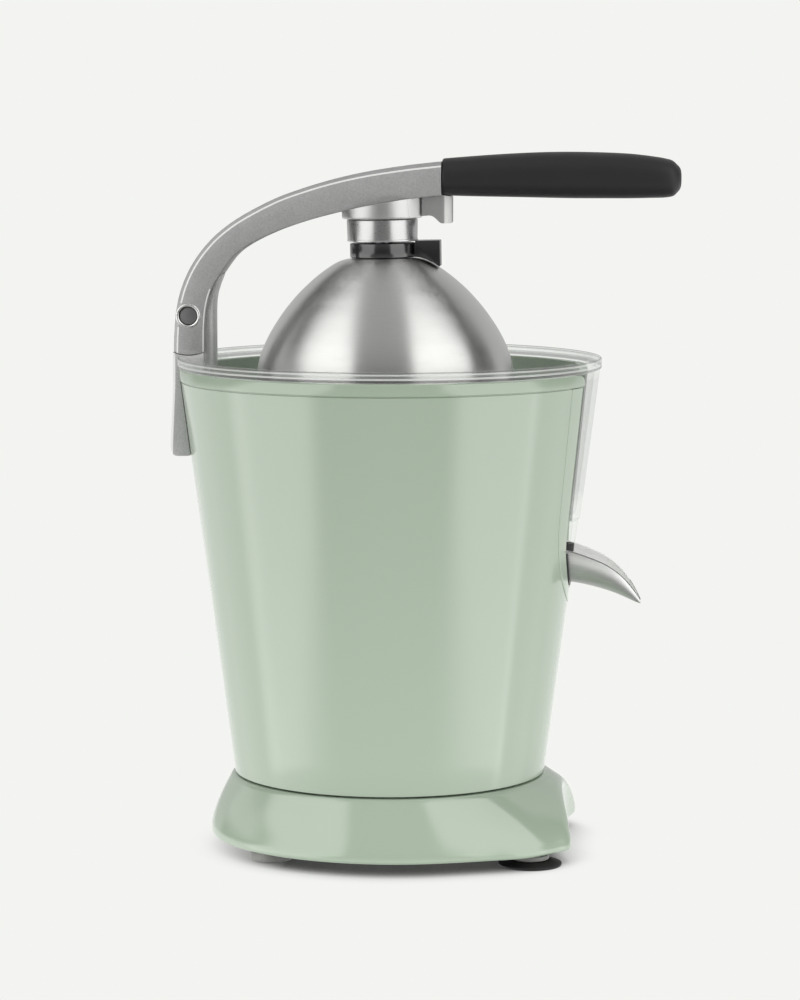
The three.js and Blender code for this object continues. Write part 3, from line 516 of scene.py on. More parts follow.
def clear_plastic(name):
    """Clear moulded plastic: thin walls let light straight through and turn pale
    where they are met edge on; the flange gets painted dark and pale lines, and a painted dark strip runs along the
    root beside the recess."""
    m, n, b = material(name)
    co = n.coords()
    sep = n.add("ShaderNodeSeparateXYZ")
    n.link(co, sep.inputs[0])
    x = n.math("SUBTRACT", sep.outputs[0], AXIS_X)
    y, z = sep.outputs[1], sep.outputs[2]
    r = n.math("SQRT", n.math("ADD", n.math("MULTIPLY", x, x), n.math("MULTIPLY", y, y)))

    def line(v, at, half):
        return n.ramp(n.math("ABSOLUTE", n.math("SUBTRACT", v, at)), half * 0.5, half, 1.0, 0.0)

    flange = n.math("MULTIPLY", n.ramp(r, 0.1012, 0.1015), n.ramp(z, 0.2317, 0.2320))
    # painted highlight: two pale lines round the flange, where the haze rises
    pale = n.math("MULTIPLY", flange, n.math("MAXIMUM", line(z, 0.2338, 0.0006), line(z, 0.2358, 0.0005)))
    # painted shade: a dark line low on the flange and a dark band along its top edge
    dark = n.math("MULTIPLY", flange, n.math("MAXIMUM", line(z, 0.2328, 0.0009), n.ramp(z, 0.2363, 0.2367)))
    off = n.math("SUBTRACT", r, n.math("ADD", (CONE_R0 - CONE_SLOPE * CONE_Z0) * MM, n.math("MULTIPLY", z, CONE_SLOPE)))
    edge_y = n.math("ADD", 0.0115, n.math("MULTIPLY", z, 0.1))
    # painted shade: a dark strip where the bowl meets the cone along the near edge of the recess
    painted_root_shade = n.math("MULTIPLY", n.ramp(off, -0.0006, -0.0002), n.ramp(n.math("ADD", y, edge_y), 0.0016, 0.0020, 1.0, 0.0))
    painted_root_shade = n.math("MULTIPLY", painted_root_shade, n.math("MULTIPLY", n.ramp(x, 0.05, 0.055), n.ramp(z, 0.2312, 0.2316, 1.0, 0.0)))
    apron = n.math("MULTIPLY", n.ramp(x, 0.07, 0.075), n.math("MULTIPLY", n.ramp(z, 0.2275, 0.229, 1.0, 0.0), n.ramp(z, 0.168, 0.172)))
    facing = n.add("ShaderNodeLayerWeight")
    facing.inputs["Blend"].default_value = 0.5
    f = facing.outputs["Facing"]
    haze = n.math("ADD", 0.025, n.math("MULTIPLY", n.math("POWER", f, 5.0), 0.2))
    haze = n.mix(flange, haze, n.math("ADD", 0.03, n.math("MULTIPLY", f, 0.36)), kind="FLOAT")
    haze = n.mix(pale, haze, 0.6, kind="FLOAT")
    b.inputs["Base Color"].default_value = (0.82, 0.83, 0.82, 1)
    b.inputs["Metallic"].default_value = 0
    b.inputs["IOR"].default_value = 1.49
    n.link(n.ramp(n.noise(co, 120, 2), 0.3, 0.7, 0.03, 0.07), b.inputs["Roughness"])
    n.link(n.bump(n.noise(co, 45, 2), 0.02, 0.0004), b.inputs["Normal"])
    clear = n.add("ShaderNodeBsdfTransparent")
    tint = n.mix(apron, (0.985, 0.99, 0.985, 1), (0.93, 0.932, 0.93, 1))
    # the painted dark lines and the painted root shade darken what shows through
    n.link(n.mix(n.math("MAXIMUM", dark, painted_root_shade), tint, (0.5, 0.5, 0.5, 1)), clear.inputs["Color"])
    mixer = n.add("ShaderNodeMixShader")
    n.link(haze, mixer.inputs[0])
    n.link(clear.outputs[0], mixer.inputs[1])
    n.link(b.outputs[0], mixer.inputs[2])
    out = next(k for k in m.node_tree.nodes if k.type == "OUTPUT_MATERIAL")
    n.link(mixer.outputs[0], out.inputs["Surface"])
    return m


SAGE = (0.372, 0.45, 0.356)
mat_sage = plastic("sage_gloss", SAGE, rough=0.13, mottling=0.006, specular=1.0)
mat_sage_in = plastic("sage_inside", SAGE, rough=0.32, mottling=0.01, specular=0.4)
mat_clear = clear_plastic("clear_bowl")
mat_dome = turned_steel("dome_steel", lean=True, rough=0.34, aniso=0.88, streak=0.6)
mat_collar = turned_steel("collar_steel", color=(0.53, 0.53, 0.53), lean=True, rough=0.29, aniso=0.5, streak=0.5)
mat_boss = turned_steel("boss_steel", color=(0.56, 0.56, 0.555), lean=True, rough=0.42, aniso=0.45, streak=0.4)
mat_sieve = turned_steel("sieve_steel", rough=0.3, aniso=0.4, streak=0.6)
mat_reamer = turned_steel("reamer_steel", rough=0.28, aniso=0.3, streak=0.6)
# painted shade: the hook is a darker copy of the boss's steel
mat_hook_darker = line_steel("hook_steel_painted_shade", "Y", color=(0.4, 0.4, 0.4), rough=0.5)
mat_spout = line_steel("spout_steel", "X", color=(0.86, 0.87, 0.85), rough=0.48)
# painted light inside the scoop and painted shade along the lip
mat_spout_inside_lighter = line_steel("spout_inside_painted_light", "X", color=(0.97, 0.97, 0.96), rough=0.45, metallic=0.0)
mat_spout_lip_darker = line_steel("spout_lip_painted_shade", "X", color=(0.34, 0.34, 0.335), rough=0.35)
mat_cast = cast_metal("cast_aluminium", (0.5, 0.5, 0.5), rough=0.62)
# painted light and shade: a lighter copy of the cast finish for the bracket, a darker copy for the arm's outer chamfer,
# and a pale material for painted highlight lines along edges
mat_cast_lighter = cast_metal("cast_bracket_painted_light", (0.64, 0.64, 0.64), rough=0.62)
mat_cast_darker = cast_metal("cast_chamfer_painted_shade", (0.44, 0.44, 0.44), rough=0.6)
mat_edge_highlight = plastic("painted_edge_highlight", (0.8, 0.8, 0.79), rough=0.3, grain=0.1, grain_scale=1400, mottling=0.08, specular=0.6)
mat_grip = plastic("grip_black", (0.0155, 0.0155, 0.016), rough=0.5, specular=0.35, grain=0.12, grain_scale=2600, mottling=0.03)
mat_black = plastic("black_plastic", (0.014, 0.014, 0.0145), rough=0.34, grain=0.05, grain_scale=1800, mottling=0.03)
mat_under = plastic("underside_black", (0.018, 0.018, 0.019), rough=0.5, grain=0.25, grain_scale=1400, mottling=0.05)
mat_rubber = plastic("black_rubber", (0.012, 0.012, 0.012), rough=0.55, grain=0.1, grain_scale=1500, mottling=0.08, specular=0.35)
mat_foot = plastic("foot_grey", (0.26, 0.26, 0.25), rough=0.4, grain=0.08, grain_scale=1500, mottling=0.03)
mat_nylon = plastic("nylon", (0.74, 0.71, 0.64), rough=0.45, grain=0.05, grain_scale=900, mottling=0.03)
mat_zinc = metal("zinc_steel", (0.52, 0.53, 0.55), rough=0.36)
mat_pin = metal("pin_end", (0.24, 0.24, 0.24), rough=0.5, grain=0.25, scale=1600)
mat_ring = metal("turned_ring", (0.78, 0.78, 0.77), rough=0.3)
mat_ringblack = plastic("gloss_black_plastic", (0.009, 0.009, 0.0095), rough=0.16, mottling=0.02, specular=0.8, ior=1.65)
mat_brass = metal("bronze", (0.62, 0.44, 0.2), rough=0.38)
mat_board = plastic("circuit_green", (0.03, 0.16, 0.07), rough=0.4, grain=0.05, grain_scale=1200, mottling=0.1)

for node, mat in {
    "motor_deck": mat_sage_in, "drive_shaft": mat_zinc, "output_gear": mat_nylon,
    "idler_gear": mat_nylon, "idler_axle": mat_zinc, "motor_pinion": mat_brass,
    "motor_shaft": mat_zinc, "motor_can": mat_zinc, "gearbox_lower_plate": mat_zinc,
    "gearbox_upper_plate": mat_zinc, "gearbox_pillar_1": mat_zinc, "gearbox_pillar_2": mat_zinc,
    "gearbox_pillar_3": mat_zinc, "shaft_bush": mat_brass, "shaft_seal": mat_rubber,
    "switch_push_rod": mat_zinc, "micro_switch": mat_black, "circuit_board": mat_board,
    "bracket_backing_plate": mat_zinc, "bracket_screw_1": mat_zinc, "bracket_screw_2": mat_zinc,
    "hinge_washer_left": mat_nylon, "hinge_washer_right": mat_nylon, "head_spring": mat_zinc,
    "head_stem": mat_zinc, "dome_nut": mat_zinc, "spout_pivot_pin": mat_zinc,
    "drip_stop_plug": mat_rubber, "nozzle_seal": mat_rubber, "cord_gland": mat_rubber,
    "hinge_pin": mat_pin,
}.items():
    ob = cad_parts[node]
    ob.data.materials.clear()
    ob.data.materials.append(mat)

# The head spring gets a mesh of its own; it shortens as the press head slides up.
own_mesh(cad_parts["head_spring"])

# --------------------------------------------------------------------- skirt
OUTLINE = [(0, 113), (20, 106), (28.4, 101.9), (31.2, 100.3), (33.9, 99.6), (36.3, 99.4), (40.4, 99.0), (43.4, 97.9), (46.1, 96.2),
           (49.9, 93.3), (52.9, 90.9), (61, 88.4), (65, 87.2), (84, 85.6), (103, 85.0), (125, 85.9), (139.4, 87.2), (149, 87.5),
           (155, 87.8), (180, 87.6)]
FLARE = [(5.2, 1.0), (9.9, 0.97), (14.9, 0.84), (20.75, 0.63), (28.1, 0.37), (31.5, 0.2), (35.4, 0.0)]
_raw = spline([(a, r) for a, r in OUTLINE], 400)
_deg = np.linspace(-30, 210, 481)
_rad = np.interp([abs(a) if a < 0 else (360 - a if a > 180 else a) for a in _deg], _raw[:, 0], _raw[:, 1])
for _ in range(70):
    _rad[1:-1] = 0.5 * _rad[1:-1] + 0.25 * (_rad[:-2] + _rad[2:])
_of = np.stack([_deg[60:421], _rad[60:421]], axis=1)
_fz = np.linspace(5.2, 35.4, 160)
_fv = np.polyval(np.polyfit([z for z, _ in FLARE], [v for _, v in FLARE], 3), _fz)
_ff = np.stack([_fz, (_fv - _fv[-1]) / (_fv[0] - _fv[-1])], axis=1)


def smooth_min(a, b, k):
    h = max(k - abs(a - b), 0) / k
    return min(a, b) - h * h * k * 0.25


def notch(deg):
    c = 254.4 * math.cos(math.radians(deg))
    d = c * c - 254.4 ** 2 + 170 ** 2
    return c - math.sqrt(d) if c > 0 and d >= 0 else 1e3


def skirt_r(deg, z, k=5.0):
    a = abs(deg)
    r = 76 + float(np.interp(z, _ff[:, 0], _ff[:, 1])) * (float(np.interp(a, _of[:, 0], _of[:, 1])) - 76)
    q = notch(a)
    return smooth_min(r, q, k) if q < 900 else r


def skirt_piece():
    na = 288
    degs = [360 * i / na - 180 for i in range(na)]
    rows = []
    # outer face from the underside of the lip to the top seam, then inside
    prof = [(5.9, 5.0), (5.9, 1.9), (6.0, 1.25), (6.3, 0.7), (6.8, 0.3), (7.4, 0.08), (8.6, 0.0)]
    for z, inset in prof:
        rows.append([(skirt_r(a, max(z, 9.9)) - inset, z) for a in degs])
    for z in np.linspace(10.8, 34.2, 25):
        rows.append([(skirt_r(a, z), z) for a in degs])
    top = [(75.95, 34.75), (75.6, 35.1), (75.0, 35.2), (69, 35.2), (69, 32.6)]
    for r, z in top:
        rows.append([(r, z)] * na)
    for z, inset in [(28.1, 3.4), (20, 3.4), (9.8, 3.4), (5.8, 5.3)]:
        rows.append([(skirt_r(a, max(z, 9.9)) - inset, z) for a in degs])
    verts = []
    for row in rows:
        for a, (r, z) in zip(degs, row):
            t = math.radians(a)
            verts.append((r * math.cos(t), r * math.sin(t), z))
    return verts, grid_faces(len(rows), na, wrap_rows=True, wrap_cols=True)


v, f = skirt_piece()
ob = raw("skirt", v, f)
carve(ob, rod("x", -100, -60, 0, 20, 6.25, seg=48))
ob.name = "flared_skirt"
settle(ob, mat_sage, "motor_body", ["base_skirt"], 40)

# Underside: moulded plate with a raised border, vents and screw wells.
outline = [((skirt_r(a, 9.9) - 6.2) * math.cos(math.radians(a)), (skirt_r(a, 9.9) - 6.2) * math.sin(math.radians(a)))
           for a in np.linspace(-180, 180, 181)[:-1]]
ob = raw("plate", *prism(outline, 6.95, 9.9, "z"))
cuts = [prism([((skirt_r(a, 9.9) - 11) * math.cos(math.radians(a)), (skirt_r(a, 9.9) - 11) * math.sin(math.radians(a)))
               for a in np.linspace(-180, 180, 121)[:-1]], 6.0, 7.7, "z")]
for i in range(-4, 5):
    w = 30 - abs(i) * 2.2
    cuts.append(box_mesh(-12 + i * 6 - 1.2, -12 + i * 6 + 1.2, -w, w, 5, 12))
for sx, sy in ((-20, 62), (-20, -62), (52, 30), (52, -30)):
    cuts.append(rod("z", 5, 9.0, sx, sy, 4.2, seg=32))
carve(ob, *cuts)
adds = []
for sx, sy in ((-53, 48), (-53, -48), (70.2, 50), (70.2, -50)):
    adds.append(rod("z", 6.95, 8.6, sx, sy, 11.0, seg=48))
unite(ob, *adds)
ob.name = "underside_plate"
settle(ob, mat_under, "motor_body", ["base_plate"], 30)


# ---------------------------------------------------------------------- feet
def turned_at(name, profile, x, y, mat, node, seg=96):
    v, f = lathe(profile, seg)
    v = [(a + x, b + y, c) for a, b, c in v]
    return make(name, v, f, mat, "motor_body", [node], 35)


for side, s in (("left", 1), ("right", -1)):
    turned_at("grey_rear_foot_" + side,
              [(0, 1.6), (8.45, 1.6), (8.5, 0.75), (8.75, 0.5)] + arc(9.5, 1.2, 0.7, -90, 0, 4) + [(10.2, 4.3), (10.0, 4.85), (6.4, 5.0), (6.4, 6.6), (0, 6.6)],
              -53, 48 * s, mat_foot, "rear_foot_" + side)
    turned_at("thin_rear_pad_" + side,
              [(0, 0.3), (5.4, 0.3), (5.9, 0)] + arc(7.7, 0.5, 0.5, -90, 60, 5) + [(7.7, 1.4), (0, 1.4)],
              -53, 48 * s, mat_rubber, "rear_pad_" + side)
    turned_at("grey_front_foot_" + side,
              [(0, 2.75), (8.3, 2.75)] + arc(8.5, 3.35, 0.6, -90, 0, 4) + [(9.1, 4.7), (8.9, 4.95), (6.4, 4.95), (6.4, 6.6), (0, 6.6)],
              70.2, 50 * s, mat_foot, "front_foot_" + side)
    turned_at("wide_suction_cup_" + side,
              [(0, 2.6), (7.9, 2.6), (8.9, 2.5), (10.4, 2.25), (12.2, 1.8), (13.8, 1.4)]
              + arc(14.5, 0.65, 0.65, 75, -75, 6) + [(14.2, 0.0), (12.9, 0.0), (12.3, 0.2), (10.5, 0.6), (7.0, 0.95), (0, 1.2)],
              70.2, 50 * s, mat_rubber, "suction_cup_" + side)

# ---------------------------------------------------------------- body shell
U_OUT = mirror_half([tuple(p) for p in spline(
    [(0, 119.4), (5, 120), (10.2, 121.7), (14, 123.3), (18, 125.7), (25.2, 131.5), (29.5, 136.9), (32.8, 142.1), (35.4, 147.2),
     (37.1, 152.2), (38.1, 157), (38.9, 162), (40.6, 176.4), (42.3, 193), (45.5, 223), (46.2, 232)], 90)])
U_IN = mirror_half([tuple(p) for p in spline(
    [(0, 126.6), (5, 127.2), (9, 128.7), (13, 131.1), (16.8, 134.4), (21.2, 139.9), (23.7, 143.5), (25.6, 147.3), (26.9, 151.4),
     (28, 156.5), (29, 165), (31.5, 193), (34.6, 225), (34.95, 232)], 90)])

seg = 288
shell = [(cone_r(36.6) - 0.55, 36.1), (cone_r(36.6) - 0.15, 36.3), (cone_r(36.9), 36.9)]
for z in np.linspace(50, 224.6, 13):
    shell.append((cone_r(z), float(z)))
shell += [(cone_r(225.25), 225.25), (cone_r(225.3) - 0.45, 225.35), (cone_r(225.6) - 0.45, 225.75),
          (cone_r(225.7) + 0.15, 225.85), (cone_r(226) + 0.55, 226.25), (101.28, 230.6), (101.2, 231.2), (100.85, 231.55),
          (100.2, 231.65), (97.6, 231.65), (97.3, 231.3), (97.3, 225.6)]
for z in np.linspace(215, 45, 8):
    shell.append((cone_r(z) - 3.0, float(z)))
shell += [(72.6, 41.5), (66, 39.4), (66, 36.1)]
ob = raw("shell", *lathe(shell, seg))
carve(
    ob,
    prism(below(grown(U_OUT, 0.55), 225.55), 40, 130, "x"),
    prism(mirror_half([(0, 224), (35.2, 224), (35.25, 227.2), (35.6, 228.5), (36.4, 229.55), (37.7, 230.45), (39.4, 231.1), (41.5, 231.5), (44, 231.72), (44, 233)]), 50, 130, "x"),
    box_mesh(-130, -60, -13.4, 13.4, 225.7, 240),
)
for z in (200, 214):
    carve(ob, rod("x", -110, -80, 0, z, 2.3, seg=24))
ob.name = "tapered_shell"
settle(ob, mat_sage, "motor_body", ["body_shell"], 30)


# --------------------------------------------------------------------- bezel
def on_cone(y, z, depth):
    r = cone_r(z) + 0.12 - depth
    return math.sqrt(max(r * r - y * y, 1.0)), y, z


def bezel_piece():
    n = 260
    zt = 225.3
    half_o = [tuple(p) for p in U_OUT if p[0] >= 0 and p[1] < zt - 2] + [(45.7, zt)]
    half_i = [tuple(p) for p in U_IN if p[0] >= 0 and p[1] < zt - 2] + [(34.62, zt)]
    half_o.sort(key=lambda p: (p[1], p[0]))
    half_i.sort(key=lambda p: (p[1], p[0]))
    o = spline([(-y, z) for y, z in reversed(half_o)] + half_o[1:], n)
    i = spline([(-y, z) for y, z in reversed(half_i)] + half_i[1:], n)
    verts = []
    cols = []
    for k in range(n):
        d = i[k] - o[k]
        w = np.linalg.norm(d)
        d = d / w
        sec = []
        for a, dep in ((-1.6, 3.6), (-1.6, 1.9), (-0.3, 1.9), (0.0, 1.5), (0.0, 0.35), (0.12, 0.12), (0.4, 0.0)):
            sec.append((o[k] + d * a, dep))
        for a in np.linspace(1.5, w - 2.2, 5):
            sec.append((o[k] + d * a, 0.0))
        for t in np.linspace(0, 90, 7):
            t = math.radians(t)
            sec.append((o[k] + d * (w - 1.7 + 1.7 * math.sin(t)), 1.7 - 1.7 * math.cos(t)))
        sec.append((o[k] + d * w, 4.2))
        sec.append((o[k] + d * (w - 1.8), 4.2))
        sec.append((o[k] + d * (w - 2.2), 3.6))
        cols = len(sec)
        for p, dep in sec:
            verts.append(on_cone(p[0], min(p[1], zt), dep))
    faces = grid_faces(n, cols, wrap_cols=True)
    faces.append(tuple(range(cols))[::-1])
    s = (n - 1) * cols
    faces.append(tuple(range(s, s + cols)))
    return verts, faces


v, f = bezel_piece()
make("recess_bezel", v, f, mat_sage, "motor_body", ["front_bezel"], 40)

# Tub behind the bezel: floor wall, back wall and the two pivot bosses.
tub_z = 154.5

tub_out = below(grown(U_IN, 2.0), tub_z)
tub_in = [(y, z) for y, z in U_IN]
cone_cut = lathe([(0, 100), (cone_r(100) - 4.4, 100), (cone_r(160) - 4.4, 160), (0, 160)], 144)
ob = raw("tub", *prism(tub_out, 66, 130, "x"))
common(ob, cone_cut)
carve(ob, prism(tub_in, 68, 140, "x"))
unite(ob, rod("y", 19.8, 25, *SPOUT_PIVOT, 3.2, seg=32), rod("y", -25, -19.8, *SPOUT_PIVOT, 3.2, seg=32))
carve(ob, rod("y", -24.4, 24.4, *SPOUT_PIVOT, 1.75, seg=24))
ob.name = "spout_tub"
settle(ob, mat_sage_in, "motor_body", ["spout_recess"], 35)

# painted shadow: a thin black sheet inside the bezel beside the nozzle and the spout stands for the shade in the gap
ob = raw("recess_shadow_sheet", *prism(below(grown(U_IN, -0.12), 145.0), 70, 130, "x"))
common(ob, lathe([(0, 110), (cone_r(110) + 0.25, 110), (cone_r(165) + 0.25, 165), (0, 165)], 288))
carve(ob, prism(below(grown(U_IN, -1.4), 200), 60, 140, "x"))
ob.name = "painted_recess_shadow"
settle(ob, mat_black, "motor_body", (), 35)

# ---------------------------------------------------------------- clear bowl
RIM_R, RIM_Z = 102.0, 237.0


def apron_r(z):
    return RIM_R - 0.1273 * (RIM_Z - z)


BW = 2.4
bowl_profile = (
    [(101.5, 231.95), (101.85, 232.2), (101.95, 232.7), (102, 234), (102, 236.2)]
    + arc(101.3, 236.3, 0.7, 0, 90, 4)[1:]
    + [(98.1, 237.0)] + arc(97.9, 236.4, 0.6, 90, 180, 4)[1:]
    + [(97.1, 234.9), (96.6, 234.3), (95.6, 233.9), (94.9, 233.3), (94.5, 231.4), (93.9, 227)]
    + [(cone_r(z) - 4.4 - BW, float(z)) for z in np.linspace(215, 172, 5)]
    + [(85.6, 168.2), (84.6, 165.2), (82.6, 163.5), (80, 163), (10.4, 163), (9.2, 164), (9, 165.5), (9, 191.4), (8.5, 192), (7, 192),
       (6.5, 191.4), (6.5, 160.5), (82.5, 160.5), (85.6, 161.5), (87.6, 163.8)]
    + [(cone_r(z) - 4.4, float(z)) for z in np.linspace(168, 222, 5)]
    + [(95.9, 226), (96.4, 230.6), (96.9, 231.6), (97.8, 231.95)]
)
outer_solid = lathe([(0, 160.5), (82.5, 160.5), (85.6, 161.5), (87.6, 163.8), (cone_r(168) - 4.4, 168),
                     (cone_r(222) - 4.4, 222), (96.4, 230.6), (97.8, 231.95), (101.6, 231.95), (101.95, 232.7), (101.95, 236.6), (101.5, 236.95), (0, 236.95)], 192)


def cone_solid(off):
    return lathe([(0, 150), (apron_r(150) + off, 150), (apron_r(RIM_Z - 0.6) + off, RIM_Z - 0.6), (0, RIM_Z - 0.6)], 288)


apron_half = [(0, 160), (22.4, 160), (24.5, 160.3), (26.2, 161.2), (27.3, 162.6), (27.9, 164.6), (29.1, 175), (30.9, 193), (34.0, 225), (34.3, 227.2), (34.9, 228.7), (35.9, 229.9), (37.4, 230.9), (39.2, 231.5), (41.4, 231.8), (43.6, 231.95), (43.7, RIM_Z)]
APRON = mirror_half(apron_half)
bowl = raw("bowl", *lathe(bowl_profile, 288))
block = raw("apron", *prism(APRON, 72, 120, "x"))
common(block, cone_solid(0))
carve(block, box_mesh(0, 200, -80, 80, 231.7, 260))
inner_cut = raw("pocket", *prism(grown(APRON, -BW), 60, 130, "x"))
common(inner_cut, cone_solid(-BW))
common(inner_cut, box_mesh(70, 120, -60, 60, 162.9, 235.85))
boolean(bowl, block, "UNION")
boolean(bowl, inner_cut, "DIFFERENCE")
lid = raw("lid", *lathe([(0, 229), (93.95, 229), (94.55, 231.4), (94.95, 233.3), (95.6, 233.9), (96.6, 234.3), (97.1, 234.9), (97.3, 236.4), (97.3, 240), (0, 240)], 288))
common(lid, box_mesh(68, 110, -60, 60, 229.4, 240))
boolean(bowl, lid, "DIFFERENCE")
back = raw("post_pocket", *box_mesh(-110, -80.7, -19.4, 19.4, 160.6, 236.9))
common(back, outer_solid)
boolean(bowl, back, "UNION")
carve(bowl, box_mesh(-120, -83.1, -17, 17, 150, 250))
unite(bowl, rod("z", 147.4, 161.5, 83, 0, 6.6, 8.6, seg=64))
carve(bowl, rod("z", 146, 165, 83, 0, 4.7, 6.0, seg=64))
bowl.name = "clear_juice_bowl"
settle(bowl, mat_clear, "motor_body", ["juice_bowl"], 28)
bowl.visible_shadow = False
bowl.visible_diffuse = False


# ------------------------------------------------------------ sieve, reamer
def sieve_piece():
    """Basket with rows of long slots round its wall and floor."""
    prof = [(59.8, 207.6), (58.6, 207.8), (57.9, 207.2), (57.4, 206.0)]
    wall = [(57.4 - (57.4 - 47.6) * t, 206 - (206 - 176.6) * t) for t in np.linspace(0.03, 1, 18)]
    prof += wall + [(46.2, 175.6)]
    floor = [(46.2 - (46.2 - 14.6) * t, 175.6) for t in np.linspace(0.05, 1, 12)]
    prof += floor + [(13.6, 175.8), (13.4, 177), (13.4, 181)]
    n = 240
    verts = []
    for r, z in prof:
        for i in range(n):
            t = 2 * math.pi * i / n
            verts.append((r * math.cos(t), r * math.sin(t), z))
    faces = []
    for j in range(len(prof) - 1):
        zone_w = 5 <= j <= 19 and j not in (9, 14)
        zone_f = 23 <= j <= 31 and j not in (27,)
        for i in range(n):
            k = (i + 1) % n
            if zone_w and i % 3 == 0:
                continue
            if zone_f and i % 5 == 0:
                continue
            faces.append((j * n + i, j * n + k, (j + 1) * n + k, (j + 1) * n + i))
    return verts, faces


v, f = sieve_piece()
ob = raw("sieve", v, f)
m = ob.modifiers.new("s", "SOLIDIFY")
m.thickness = 0.8 * MM
m.offset = 0
evaluate(ob)
ob.name = "slotted_strainer"
settle(ob, mat_sieve, "motor_body", ["pulp_strainer"], 35)


def reamer_piece():
    n = 240
    table = spline([(185, 37.6, 0), (186.2, 38, 0), (187.6, 37.2, 0), (189.2, 35.4, 0.25), (192, 34.2, 1.2), (198, 32.2, 2.4), (206, 29.3, 3.0),
                    (215, 25.6, 3.2), (225, 20.9, 3.0), (235, 14.8, 2.5), (243, 8.6, 1.6), (247.6, 4.4, 0.8), (249.8, 2.0, 0.2), (250.5, 0.5, 0)], 90)
    loops = []
    for z, r, d in table:
        row = []
        for i in range(n):
            t = 2 * math.pi * i / n
            q = abs(math.cos(5 * t)) ** 1.35
            rr = max(r - max(d, 0) * (1 - q), 0.3)
            row.append((rr * math.cos(t), rr * math.sin(t), z))
        loops.append(row)
    verts = [p for l in loops for p in l]
    faces = grid_faces(len(loops), n, wrap_cols=True)
    faces.append(tuple(range((len(loops) - 1) * n, len(loops) * n)))
    inner = [(36.6, 185), (33.2, 186.2), (33.2, 189), (30, 196), (22.4, 211), (13, 226), (8.4, 226), (8.4, 196.6), (4.35, 196.6), (4.35, 232.8)]
    base = len(verts)
    for r, z in inner:
        for i in range(n):
            t = 2 * math.pi * i / n
            verts.append((r * math.cos(t), r * math.sin(t), z))
    for j in range(len(inner) - 1):
        for i in range(n):
            k = (i + 1) % n
            faces.append((base + j * n + i, base + j * n + k, base + (j + 1) * n + k, base + (j + 1) * n + i))
    for i in range(n):
        k = (i + 1) % n
        faces.append((i, k, base + k, base + i))
    faces.append(tuple(range(base + (len(inner) - 1) * n, base + len(inner) * n)))
    return verts, faces


v, f = reamer_piece()
make("ribbed_reamer", v, f, mat_reamer, "reamer_unit", ["reamer"], 50)

# --------------------------------------------------------- bracket and pivot
def about_pin(r, a0, a1, n=24):
    return [(PIN[0] + r * math.cos(math.radians(a0 + (a1 - a0) * i / n)),
             PIN[1] + r * math.sin(math.radians(a0 + (a1 - a0) * i / n))) for i in range(n + 1)]


side = about_pin(19.0, 293, 246.8) + [
    (-103.45, 224), (-104.8, 194.0), (-104.75, 192.6), (-104.4, 191.2), (-103.6, 190.1), (-102.4, 189.5), (-101, 189.35),
    (-97.2, 189.4), (-90, 190.2), (-90, 226), (-88.6, 226)]
ob = raw("bracket", *prism(side, -12.9, 12.9, "y"))
carve(ob, lathe([(0, 150), (cone_r(150) + 0.3, 150), (cone_r(225.75) + 0.3, 225.75), (0, 225.75)], 288))
bevel(ob, 1.7, 2, 50)
for s in (1, -1):
    loops = []
    for z in np.linspace(185, 239.2, 24):
        xt = float(np.interp(z, [194.0, 224.0, 239.3], [-104.8, -103.45, -103.38]))
        loops.append([(xt - 1, 10.7 * s, z), (xt + 2.2, 13.9 * s, z), (xt - 1, 13.9 * s, z)])
    carve(ob, loft(loops))
post = raw("post", *prism(
    [(-101, 232), (-83.9, 232), (-83.9, 259), (-83.85, 263.4), (-83.2, 267.6), (-82, 271.4), (-80.9, 274.2), (-80.15, 276.1), (-80.1, 276.4),
     (-80.35, 276.5), (-81.7, 274.7), (-83.3, 272.3), (-84.4, 269.8), (-85.2, 267.6), (-86.2, 265.6), (-87.2, 265.9), (-90.0, 268.3), (-94, 269.4),
     (-98, 267.4), (-100.6, 263.2), (-101, 261)],
    -7.4, 7.4, "y"))
front_line = [(-83.9, 230), (-83.9, 259), (-83.85, 263.4), (-83.2, 267.6), (-82, 271.4), (-80.9, 274.2), (-80.1, 277.5)]
for s in (1, -1):
    loops = []
    for z in np.linspace(230, 277.5, 40):
        xr = float(np.interp(z, [b for _, b in front_line], [a for a, _ in front_line]))
        rr = float(np.interp(z, [258, 268], [2.8, 0.9]))
        pts = [(xr + 1, 8.4), (xr + 1, 7.4 - rr)]
        pts += [(xr - rr + rr * math.cos(math.radians(t)), 7.4 - rr + rr * math.sin(math.radians(t))) for t in range(0, 91, 10)]
        pts += [(xr - rr, 8.4)]
        loops.append([(x, y * s, z) for x, y in (pts[::-1] if s > 0 else pts)])
    carve(post, loft(loops))
boolean(ob, post, "UNION")
carve(ob, rod("y", -20, 20, *PIN, 4.5, seg=64))
for z in (200, 214):
    carve(ob, rod("x", -101.4, -80, 0, z, 2.3, seg=24))
ob.name = "rear_bracket"
# painted light: the bracket uses the lighter copy of the cast finish
settle(ob, mat_cast_lighter, "motor_body", ["lever_bracket"], 30)
# painted highlight: the bevel faces along the bracket's back outer edges take the pale edge material
ob.data.materials.append(mat_edge_highlight)
for face in ob.data.polygons:
    if face.normal.x < -0.5 and 0.55 < abs(face.normal.y) < 0.85 and abs(face.center.y) > 0.0112:
        face.material_index = 1

# Pivot pin: flat dark ends with a softened edge.
pin = [(0, 11.95), (3.7, 11.95), (4.1, 11.8), (4.25, 11.5), (4.25, -11.5), (4.1, -11.8), (3.7, -11.95), (0, -11.95)]
v, f = lathe(pin, 96)
v = [(x + PIN[0], z, PIN[1] + y) for x, y, z in v]
make("turned_hinge_pin", v, f, mat_pin, "motor_body", ["hinge_pin"], 30)


